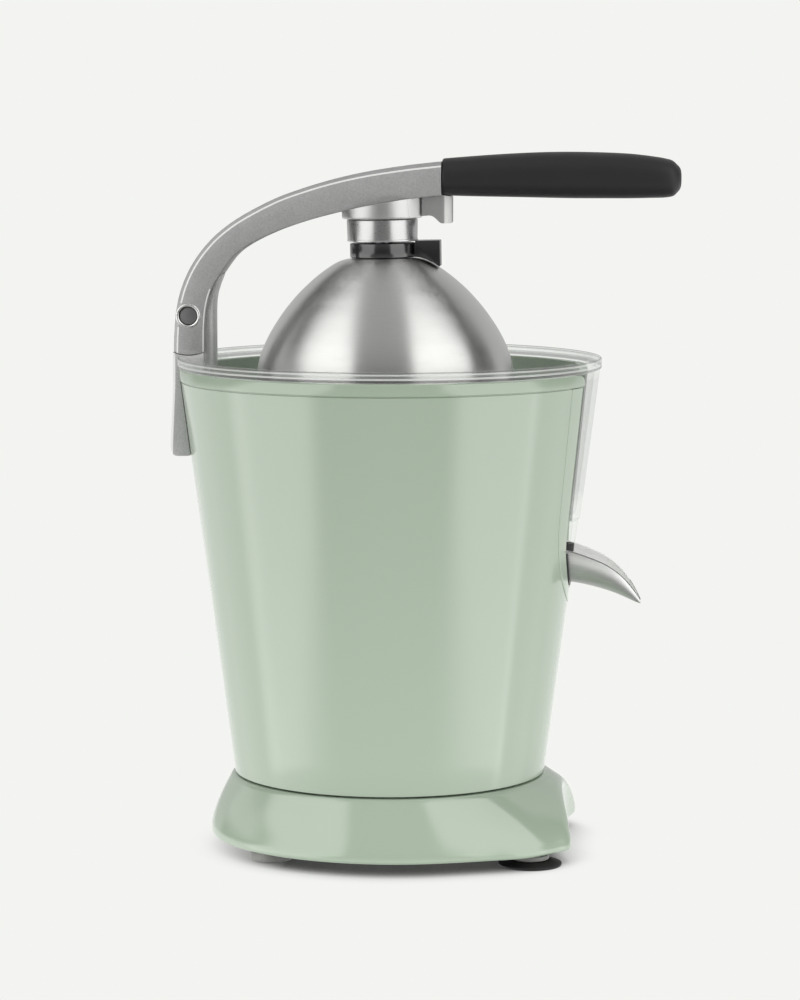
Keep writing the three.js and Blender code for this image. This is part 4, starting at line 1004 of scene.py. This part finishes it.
# ----------------------------------------------------------------- lever arm
outer_edge = [(25.4, 330.4), (8.3, 328.5), (-13.1, 325.1), (-29.4, 321.3), (-42.1, 317.4), (-52.1, 313.8), (-60.4, 309.9),
              (-67.5, 306.1), (-73.7, 302.4), (-78.9, 298.6), (-83.3, 294.9), (-87.0, 291.0), (-90.2, 287.2), (-92.8, 283.4),
              (-95.1, 279.7), (-98.6, 272.0), (-100.9, 264.4), (-102.2, 256.8), (-102.7, 250.6), (-103.0, 245), (-103.2, 236)]
inner_edge = [(25.4, 314.4), (14, 313.3), (3.7, 311.9), (-12.3, 309), (-27, 305.6), (-37.6, 302.7), (-48.6, 299),
              (-58.6, 294.9), (-65.9, 291.2), (-71.5, 287.6), (-74.9, 284.4), (-78.3, 279.8), (-82.2, 274.1), (-83.9, 271.5), (-85.7, 267.1),
              (-87.0, 261.7), (-87.8, 255.3), (-88.1, 249.3), (-88.15, 243), (-88.2, 234)]


def arm_piece():
    n = 170
    o = spline(outer_edge, n)
    q = spline(inner_edge, n)
    # smooth small kinks left from measuring
    for a in (o, q):
        for _ in range(8):
            a[1:-1] = 0.5 * a[1:-1] + 0.25 * (a[:-2] + a[2:])
    verts = []
    T = 13.0
    bev = 2.3
    fil = 0.9
    # ring of (across, edge, distance in from that edge)
    ring = [
        (-T + bev, "o", 0.0), (T - bev, "o", 0.0), (T - bev + 0.35, "o", 0.08), (T - 0.35, "o", bev - 0.7), (T - 0.08, "o", bev - 0.25),
        (T, "o", bev + 0.1), (T, "i", fil), (T - 0.3 * fil, "i", 0.3 * fil), (T - fil, "i", 0.0), (-T + fil, "i", 0.0),
        (-T + 0.3 * fil, "i", 0.3 * fil), (-T, "i", fil), (-T, "o", bev + 0.1), (-T + 0.08, "o", bev - 0.25),
        (-T + 0.35, "o", bev - 0.7), (-T + bev - 0.35, "o", 0.08)]
    for k in range(n):
        d = q[k] - o[k]
        w = np.linalg.norm(d)
        d = d / w
        for y, edge, off in ring:
            p = o[k] + d * off if edge == "o" else q[k] - d * off
            verts.append((p[0], y, p[1]))
    c = len(ring)
    faces = grid_faces(n, c, wrap_cols=True)
    faces.append(tuple(range(c))[::-1])
    s = (n - 1) * c
    faces.append(tuple(range(s, s + c)))
    return verts, faces, q


v, f, under = arm_piece()
arm = raw("arm", v, f)
# rounded cheek ends below the pivot
upper = raw("keep", *box_mesh(-130, 60, -30, 30, 250.0, 345))
unite(upper, rod("y", -30, 30, *PIN, 18.6, seg=200))
boolean(arm, upper, "INTERSECT")
# boss under the arm, its top following the arm's underside
boss = raw("boss", *lathe([(0, 303.3), (18.3, 303.3), (18.9, 303.5), (19.2, 303.9), (19.3, 304.5), (19.3, 318), (0, 318)], 160))
tilt_mesh(boss)
line = [(float(a), float(b) + 0.15) for a, b in under if -32 < a < 25.4]
common(boss, prism([(-40, 290), (30, 290), (30, line[0][1])] + line + [(-40, line[-1][1])], -25, 25, "y"))
hook = [(15.8, 304.6), (17.6, 304.75), (19.4, 304.9), (20.6, 304.7), (21.6, 304.2), (22.6, 303.4), (23.5, 302.5), (24.2, 301.8), (25.0, 301.3),
        (25.8, 301.15), (29.6, 301.15), (30.1, 301.3), (30.4, 301.7), (30.5, 302.2), (30.5, 313.8), (25.5, 314.6), (24, 316), (15.8, 316)]
hk = raw("hook", *prism(hook, -6.5, 6.5, "y"))
plan = [(10, -6.5), (25.0, -6.5)] + [(25.0 + 5.5 * math.sin(math.radians(a)), -1.0 - 5.5 * math.cos(math.radians(a))) for a in range(6, 91, 6)]
plan += [(x, -y) for x, y in reversed(plan)]
common(hk, prism(plan, 290, 330, "z"))
under_arm = prism([(-40, 280), (34, 280), (34, 315.4)] + [(float(a), float(b) + 0.5) for a, b in under if -32 < a < 25.4] + [(-40, line[-1][1])], -25, 25, "y")
common(hk, under_arm)
boolean(boss, hk, "UNION")
tang = [(22, 318.2), (30, 318.6), (70, 319.8), (112, 320.2), (112, 328.4), (70, 328), (30, 327), (22, 326.6)]
unite(arm, prism(tang, -6, 6, "y"))
slot = [(-115, 225), (-70, 225), (-70, 262), (-81.5, 262)] + [tuple(p) for p in spline([(-82.4, 263.4), (-84, 266.5), (-88, 270.2), (-93, 271.9), (-99, 271.2), (-110, 268)], 30)]
carve(arm, prism(slot, -8.6, 8.6, "y"), rod("y", -20, 20, *PIN, 4.5, seg=96))
carve(arm, rod("y", 11.8, 13.3, *PIN, 4.5, 5.9, seg=128), rod("y", -13.3, -11.8, *PIN, 5.9, 4.5, seg=128))
bore = raw("bore", *lathe([(0, 300), (5.4, 300), (5.4, 319.6), (0, 319.6)], 64))
tilt_mesh(bore)
boolean(boss, bore, "DIFFERENCE")
bore = raw("bore", *lathe([(0, 300), (5.4, 300), (5.4, 319.6), (0, 319.6)], 64))
tilt_mesh(bore)
boolean(arm, bore, "DIFFERENCE")
arm.name = "cast_lever_arm"
settle(arm, mat_cast, "lever", ["lever_arm"], 26)
# painted highlight: facets between the outer chamfer and the cheek faces, and those low beside the post, take the pale
# edge material; painted shade: the outer chamfer takes the darker cast copy
arm.data.materials.append(mat_edge_highlight)
arm.data.materials.append(mat_cast_darker)
outer_line = np.array(spline(outer_edge, 300))
for face in arm.data.polygons:
    px, py, pz = (face.center.x - AXIS_X) / MM, face.center.y / MM, face.center.z / MM
    side = abs(face.normal.y)
    near = float(np.min(np.hypot(outer_line[:, 0] - px, outer_line[:, 1] - pz))) < 3.2
    if 0.8 < side < 0.99 and abs(py) > 12.3 and (near or pz < 270) and math.hypot(px - PIN[0], pz - PIN[1]) > 7:
        face.material_index = 1
    elif near and side < 0.8 and pz > 262:
        face.material_index = 2
boss.name = "turned_boss_with_hook"
settle(boss, mat_boss, "lever", (), 30)
boss.data.materials.append(mat_hook_darker)
boss.data.materials.append(mat_edge_highlight)
# painted highlight: the boss's right edge and the hook's rounded corners take the pale edge material; painted shade:
# the rest of the hook takes the darker steel
for face in boss.data.polygons:
    px = (face.center.x - AXIS_X) / MM
    if px < 20 and face.normal.x > 0.72 or px > 25 and 0.3 < face.normal.x < 0.93:
        face.material_index = 2
    elif px > 17.0:
        face.material_index = 1

# Bright turned rings let into the cheeks round the pin.
for s, side_name in ((1, "left"), (-1, "right")):
    ring = [(4.45, 11.9), (4.45, 12.75), (4.6, 13.0), (4.95, 13.2), (5.35, 13.28), (5.7, 13.15), (5.95, 12.85), (5.95, 12.4), (5.5, 11.9)]
    v, f = lathe(ring, 128)
    v = [(x + PIN[0], s * z, PIN[1] + y) for x, y, z in v]
    make("pivot_ring_" + side_name, v, f, mat_ring, "lever", (), 40)


# ---------------------------------------------------------------------- grip
def grip_piece():
    top = [(25.6, 331.9), (41.6, 333.2), (59.9, 334.4), (78.2, 335.1), (96.3, 335.05), (114.6, 334.3), (124, 333.3), (131.5, 332.1),
           (135.2, 331.0), (137.8, 328.6)]
    bot = [(25.6, 314.3), (41.6, 313.9), (60, 313.6), (87.4, 313.1), (105, 313.1), (114.8, 313.1), (124, 313.3), (132.5, 313.6),
           (135.8, 314.4), (137.9, 316.4)]
    wid = [(25.6, 12.7), (41.6, 13.4), (60, 14.0), (78, 14.3), (96, 14.5), (114.6, 14.2), (124, 13.8), (131.5, 13.0), (135.4, 11.8), (137.9, 9.7)]
    xs = np.concatenate([np.linspace(25.7, 120, 60), np.linspace(121, 137.85, 26)])
    T, B, W = (spline(a, 400) for a in (top, bot, wid))
    n = 72
    loops = []

    def loop(x, zt, zb, w, p=2.7):
        zc, h = (zt + zb) / 2, (zt - zb) / 2
        out = []
        for i in range(n):
            t = 2 * math.pi * i / n
            c, s = math.cos(t), math.sin(t)
            out.append((x, w * math.copysign(abs(c) ** (2 / p), c), zc + h * math.copysign(abs(s) ** (2 / p), s)))
        return out

    # slightly rounded face where it meets the arm
    for dx, k in ((0.0, 0.955), (0.12, 0.975), (0.35, 0.99), (0.8, 1.0)):
        x = 25.7 + dx
        zt, zb, w = (np.interp(x, a[:, 0], a[:, 1]) for a in (T, B, W))
        zc = (zt + zb) / 2
        loops.append(loop(x, zc + (zt - zc) * k, zc + (zb - zc) * k, w * k))
    for x in xs[1:]:
        zt, zb, w = (np.interp(x, a[:, 0], a[:, 1]) for a in (T, B, W))
        loops.append(loop(x, zt, zb, w, 2.7 - 0.3 * max(0, (x - 125) / 14)))
    zt, zb, w = 328.5, 316.5, 9.6
    for x, k in ((138.45, 0.9), (138.9, 0.77), (139.2, 0.6), (139.35, 0.38), (139.4, 0.14)):
        zc = (zt + zb) / 2
        loops.append(loop(x, zc + (zt - zc) * k, zc + (zb - zc) * k, w * k, 2.3))
    return loft(loops)


v, f = grip_piece()
grip = raw("grip_raw", v, f)
carve(grip, prism([(20, 317.8), (30, 318.2), (70, 319.4), (112.4, 319.8), (112.4, 328.8), (70, 328.4), (30, 327.4), (20, 327)], -6.4, 6.4, "y"))
grip.name = "black_grip"
settle(grip, mat_grip, "lever", ["grip"], 40)

# ---------------------------------------------------------------- press head
sleeve = [(16.05, 292.65), (16.3, 292.45), (16.6, 292.45), (16.85, 292.6), (16.95, 292.9), (16.95, 293.35), (16.8, 293.5), (17.05, 302.3), (16.9, 302.8), (16.5, 303.0), (6.2, 303.0),
          (6.2, 302), (15.85, 302), (16.05, 301.8)]
ob = raw("sleeve", *lathe(sleeve, 192))
tilt_mesh(ob)
ob.name = "steel_collar"
settle(ob, mat_collar, "lever", ["collar_sleeve"], 35)

ring = [(5.4, 284.7), (15.3, 284.7), (15.6, 284.9), (15.7, 285.2), (15.7, 291.2), (15.55, 291.5), (15.2, 291.65), (5.4, 291.65)]
ob = raw("ring", *lathe(ring, 192))
tab = [(11, 285.2), (16.5, 284.8), (18.4, 284.5), (21.2, 283.6), (24.4, 282.0), (26.2, 280.9), (27.3, 280.15), (27.7, 280.1), (27.9, 280.4), (27.9, 292.2), (27.8, 292.5), (27.5, 292.6), (11, 292.6)]
tb = raw("tab", *prism(tab, -6.5, 6.5, "y"))
bevel(tb, 0.35, 2, 60)
carve(tb, lathe([(0, 286.2), (16.9, 286.2), (17.2, 286.5), (17.25, 287), (17.25, 292.2), (17.45, 294), (0, 294)], 192))
boolean(ob, tb, "UNION")
carve(ob, rod("z", 280, 296, 0, 0, 5.4, seg=64))
tilt_mesh(ob)
ob.name = "lock_ring_with_tab"
settle(ob, mat_ringblack, "dome_unit", ["lock_ring"], 32)

dome_out = spline([(15.9, 284.25), (18.7, 283.95), (21.5, 282.95), (24.5, 281.25), (28.3, 278.7), (32.5, 275.6), (36.8, 271.8), (40.95, 267.9), (44.3, 264.1),
                   (47.5, 260.3), (50.3, 256.4), (52.85, 252.6), (55.2, 248.7), (57.2, 244.9), (58.9, 241), (60.3, 237.1), (61.3, 233.3), (61.95, 229.4), (62.3, 225.0)], 90)
for _ in range(14):
    dome_out[1:-1] = 0.5 * dome_out[1:-1] + 0.25 * (dome_out[:-2] + dome_out[2:])
profile = [(5.4, 284.3), (12, 284.3)] + [tuple(p) for p in dome_out] + arc(61.65, 224.62, 0.62, 0, -180, 6)
nrm = []
for i in range(len(dome_out)):
    a, b = dome_out[max(i - 1, 0)], dome_out[min(i + 1, len(dome_out) - 1)]
    t = b - a
    t /= np.linalg.norm(t)
    nrm.append((dome_out[i][0] + t[1] * 1.25, dome_out[i][1] - t[0] * 1.25))
profile += [p for p in reversed(nrm) if p[1] > 225.5 and p[0] > 16.5] + [(15.8, 282.9), (5.4, 282.9)]
ob = raw("dome", *lathe(profile, 224))
tilt_mesh(ob)
ob.name = "press_dome"
settle(ob, mat_dome, "dome_unit", ["dome"], 40)


# --------------------------------------------------------------------- spout
SPOUT_ROWS = spline([(72, 146.8, 129.6, 18.6), (80, 146.4, 129.3, 18.7), (86, 145.6, 128.8, 18.6), (92, 143.8, 128, 18.3),
                     (98, 141.6, 126.7, 17.7), (104, 138.9, 125.1, 16.6), (109, 135.6, 123.4, 14.9), (113.5, 131.4, 121.5, 12.3),
                     (117.4, 126.5, 119.7, 8.6), (120.2, 122, 118.5, 4.6), (121.4, 119.8, 118.2, 1.8)], 80)


def spout_piece():
    rows = SPOUT_ROWS
    K = 40
    verts = []
    th = 1.2
    for x, zr, zb, w in rows:
        out, inn = [], []
        for k in range(K + 1):
            t = -math.pi / 2 + math.pi * k / K
            out.append((x, w * math.sin(t), zr - (zr - zb) * math.cos(t)))
            ww, d = max(w - th, 0.3), max(zr - zb - th, 0.25)
            inn.append((x, ww * math.sin(t), zr - d * math.cos(t)))
        # rounded lip on both sides
        lip_r = (x, (out[-1][1] + inn[-1][1]) / 2, zr + th * 0.42)
        lip_l = (x, (out[0][1] + inn[0][1]) / 2, zr + th * 0.42)
        verts += out + [lip_r] + inn[::-1] + [lip_l]
    c = 2 * (K + 1) + 2
    faces = grid_faces(len(rows), c, wrap_cols=True)
    for j, flip in ((0, True), (len(rows) - 1, False)):
        b = j * c
        for k in range(K):
            q = (b + k, b + k + 1, b + c - 3 - k - 0, b + c - 2 - k)
            faces.append(q[::-1] if flip else q)
        faces.append((b + K, b + K + 1, b + K + 2))
        faces.append((b, b + c - 1, b + c - 2))
    return verts, faces


v, f = spout_piece()
ob = raw("spout_raw", v, f)
K = 40
wall = [((18.6 - 0.4) * math.sin(-math.pi / 2 + math.pi * k / K), 146.8 - (17.2 - 0.4) * math.cos(-math.pi / 2 + math.pi * k / K)) for k in range(K + 1)]
unite(ob, prism(wall, 72, 73.2, "x"))
carve(ob, rod("y", -24, 24, *SPOUT_PIVOT, 1.8, seg=32))
ob.name = "steel_spout"
settle(ob, mat_spout, "spout_unit", ["spout"], 38)
ob.visible_shadow = False
ob.visible_diffuse = False
# painted light: the inside of the scoop is a paler non-metal copy of the steel; painted shade: a dark strip along the
# lip on its near side and at its tip
ob.data.materials.append(mat_spout_inside_lighter)
ob.data.materials.append(mat_spout_lip_darker)
for face in ob.data.polygons:
    px, py, pz = (face.center.x - AXIS_X) / MM, face.center.y / MM, face.center.z / MM
    top = float(np.interp(px, SPOUT_ROWS[:, 0], SPOUT_ROWS[:, 1]))
    if pz > top + 0.12 and face.normal.z > 0.2 and abs(py) > 1 and (py < 0 or px > 116):
        face.material_index = 2
    elif pz > top + 0.12 or face.normal.y * py + face.normal.z * (pz - top) < 0 and abs(face.normal.x) < 0.8 or face.normal.x > 0.8 and px < 75:
        face.material_index = 1

# --------------------------------------------------------------- floor, world
bm = bmesh.new()
bmesh.ops.create_circle(bm, cap_ends=True, segments=96, radius=1.6)
me = bpy.data.meshes.new("floor")
bm.to_mesh(me)
bm.free()
floor = bpy.data.objects.new("floor", me)
bpy.context.scene.collection.objects.link(floor)
floor.location = (AXIS_X, 0, -0.0002)
floor_mat = bpy.data.materials.new("pale_floor")
floor_mat.use_nodes = True
n = Nodes(floor_mat.node_tree)
for old in list(floor_mat.node_tree.nodes):
    floor_mat.node_tree.nodes.remove(old)
PALE = (0.8963, 0.9047, 0.8796, 1)
# painted contact shadow: the floor's glow colour darkens where ambient occlusion finds the model, painted fainter
# towards the left
ao = n.add("ShaderNodeAmbientOcclusion", samples=16)
ao.inputs["Distance"].default_value = 0.025
painted_floor_shadow = n.math("POWER", n.ramp(ao.outputs["AO"], 0.1, 0.84, smooth=False), 0.9)
across = n.add("ShaderNodeSeparateXYZ")
n.link(n.coords(), across.inputs[0])
painted_floor_shadow = n.mix(n.ramp(across.outputs[0], -0.092, -0.045, 0.8, 0.0, smooth=False), painted_floor_shadow, 1.0, kind="FLOAT")
# a painted pool of light: for rays other than the camera's the floor glows brighter near the model
glow = n.add("ShaderNodeEmission")
away = n.vec("LENGTH", n.coords())
seen = n.add("ShaderNodeLightPath").outputs["Is Camera Ray"]
n.link(n.mix(seen, n.ramp(away, 0.1, 0.6, 1.45, 0.85), 1.0, kind="FLOAT"), glow.inputs["Strength"])
n.link(n.mix(painted_floor_shadow, (0.045, 0.047, 0.044, 1), PALE), glow.inputs["Color"])
surface = n.add("ShaderNodeOutputMaterial")
n.link(glow.outputs[0], surface.inputs["Surface"])
floor.data.materials.append(floor_mat)
floor.visible_glossy = False

world = bpy.data.worlds.new("studio")
bpy.context.scene.world = world
world.use_nodes = True
w = Nodes(world.node_tree)
for old in list(world.node_tree.nodes):
    world.node_tree.nodes.remove(old)
direction = w.add("ShaderNodeTexCoord").outputs["Generated"]
DEG = math.pi / 180
to_cam = (math.sin(CAM_AZ), -math.cos(CAM_AZ), 0)
to_right = (math.cos(CAM_AZ), math.sin(CAM_AZ), 0)
front = w.vec("DOT_PRODUCT", direction, to_cam)
right = w.vec("DOT_PRODUCT", direction, to_right)
az = w.math("ARCTAN2", right, front)
sep = w.add("ShaderNodeSeparateXYZ")
w.link(direction, sep.inputs[0])
el = w.math("ARCSINE", sep.outputs[2])


def edge(at, soft, shift=None):
    """0 to 1 across an azimuth in degrees; the place may move with height."""
    if shift is None:
        return w.ramp(az, (at - soft) * DEG, (at + soft) * DEG)
    place = w.math("MULTIPLY", shift, DEG)
    width = soft * DEG if isinstance(soft, (int, float)) else w.math("MULTIPLY", soft, DEG)
    return w.ramp(az, w.math("SUBTRACT", place, width), w.math("ADD", place, width))


def inside(a, b):
    return w.math("MULTIPLY", a, w.math("SUBTRACT", 1.0, b))


def heights(pairs):
    """Value by elevation in degrees, joined by straight lines."""
    total = None
    for (e0, v0), (e1, v1) in zip(pairs, pairs[1:]):
        part = w.ramp(el, e0 * DEG, e1 * DEG, 0.0, v1 - v0, smooth=False)
        total = part if total is None else w.math("ADD", total, part)
    return w.math("ADD", total, pairs[0][1])


# two tall soft boxes left and right of the camera, a dim gap between them,
# dim flags beside the object and a paler wall behind it
box_right = inside(edge(0, heights([(-30, 24), (-23, 20), (-20.5, 8), (-14, 2.5), (90, 2.5)]), heights([(-30, 50), (-23, 46), (-20.5, 38), (-12, 38), (-6, 28), (20, 27), (48, 27.5), (70, 56), (85, 60)])),
                   edge(0, 4, heights([(-30, 90), (-8, 90), (0, 84), (12, 84), (25, 93), (90, 93)])))
box_left = inside(edge(0, 7, heights([(-30, -98), (-8, -98), (0, -79), (12, -79), (25, -100), (90, -100)])),
                  edge(0, heights([(-30, 24), (-23, 20), (-20.5, 8), (-14, 3), (90, 3)]), heights([(-30, -62), (-23, -56), (-20.5, -44), (-12, -44), (-6, -31), (20, -29.5), (46, -35), (66, -72), (85, -75)])))
boxes = w.math("MULTIPLY", w.math("ADD", box_right, box_left), heights([(-30, 0.32), (-25.5, 0.34), (-23.6, 1.12), (-21.5, 1.5), (40, 1.5), (60, 1.1), (78, 0.55), (90, 0.4)]))
gap = w.math("MULTIPLY", inside(edge(-91, 6), edge(91, 4)), heights([(-30, 0.8), (-25.5, 0.88), (-23.6, 0.88), (-21.5, 0.68), (-19, 0.45), (-12, 0.32), (-5, 0.13), (4, 0.15), (25, 0.36), (50, 0.55), (90, 0.52)]))
wall = w.math("ADD", inside(edge(-181, 1), edge(-135, 6)), inside(edge(119, 5), edge(181, 1)))
wall = w.math("MULTIPLY", wall, heights([(-30, 0.66), (-25.5, 0.68), (-22, 0.95), (-9, 1.1), (-4, 0.6), (90, 0.6)]))
flag_left = w.math("MULTIPLY", inside(edge(-135, 6), edge(-92, 8)), heights([(-30, 1.2), (-9, 1.2), (-5, 0.1), (2, 0.12), (8, 0.9), (17, 0.9), (24, 0.15), (32, 0.05), (60, 0.06), (90, 0.4)]))
flag_right = w.math("MULTIPLY", inside(edge(88, 4), edge(119, 5)), heights([(-30, 1.3), (-9, 1.2), (-5, 0.08), (32, 0.05), (60, 0.05), (90, 0.4)]))
total = w.math("ADD", w.math("ADD", boxes, gap), w.math("ADD", wall, w.math("ADD", flag_left, flag_right)))
total = w.math("MULTIPLY", total, w.ramp(el, -62 * DEG, -36 * DEG, 0.25, 1.0))
studio = w.add("ShaderNodeBackground")
studio.inputs["Color"].default_value = (1.0, 1.0, 0.99, 1)
w.link(total, studio.inputs["Strength"])
plain = w.add("ShaderNodeBackground")
plain.inputs["Color"].default_value = (0.8963, 0.9047, 0.8796, 1)
plain.inputs["Strength"].default_value = 1.0
path = w.add("ShaderNodeLightPath")
mixer = w.add("ShaderNodeMixShader")
w.link(w.math("MAXIMUM", path.outputs["Is Camera Ray"], path.outputs["Is Transmission Ray"]), mixer.inputs[0])
w.link(studio.outputs[0], mixer.inputs[1])
w.link(plain.outputs[0], mixer.inputs[2])
out = w.add("ShaderNodeOutputWorld")
w.link(mixer.outputs[0], out.inputs["Surface"])

# --------------------------------------------------------------------- camera
cam_data = bpy.data.cameras.new("camera")
cam = bpy.data.objects.new("camera", cam_data)
bpy.context.scene.collection.objects.link(cam)
D, H = 1731.858, 366.2952
pitch, yaw = math.radians(6.5528), math.radians(0.16578)
eX = Vector((math.cos(CAM_AZ), math.sin(CAM_AZ), 0))
eY = Vector((-math.sin(CAM_AZ), math.cos(CAM_AZ), 0))
fwd_h = eX * math.sin(yaw) + eY * math.cos(yaw)
right_v = eX * math.cos(yaw) - eY * math.sin(yaw)
fwd = fwd_h * math.cos(pitch) - Vector((0, 0, 1)) * math.sin(pitch)
up = fwd_h * math.sin(pitch) + Vector((0, 0, 1)) * math.cos(pitch)
rot = Matrix((right_v, up, -fwd)).transposed().to_4x4()
pos = Vector((D * math.sin(CAM_AZ) * MM + AXIS_X, -D * math.cos(CAM_AZ) * MM, H * MM))
cam.matrix_world = Matrix.Translation(pos) @ rot
cam_data.sensor_fit = "AUTO"
cam_data.sensor_width = 36
cam_data.lens = 3604.4 * 36 / 1000
cam_data.clip_start = 0.05
cam_data.clip_end = 20
cam_data.dof.use_dof = False
bpy.context.scene.camera = cam
bpy.context.scene.view_settings.view_transform = "Standard"
bpy.context.scene.view_settings.look = "None"
bpy.context.scene.view_settings.exposure = 0
bpy.context.scene.view_settings.gamma = 1
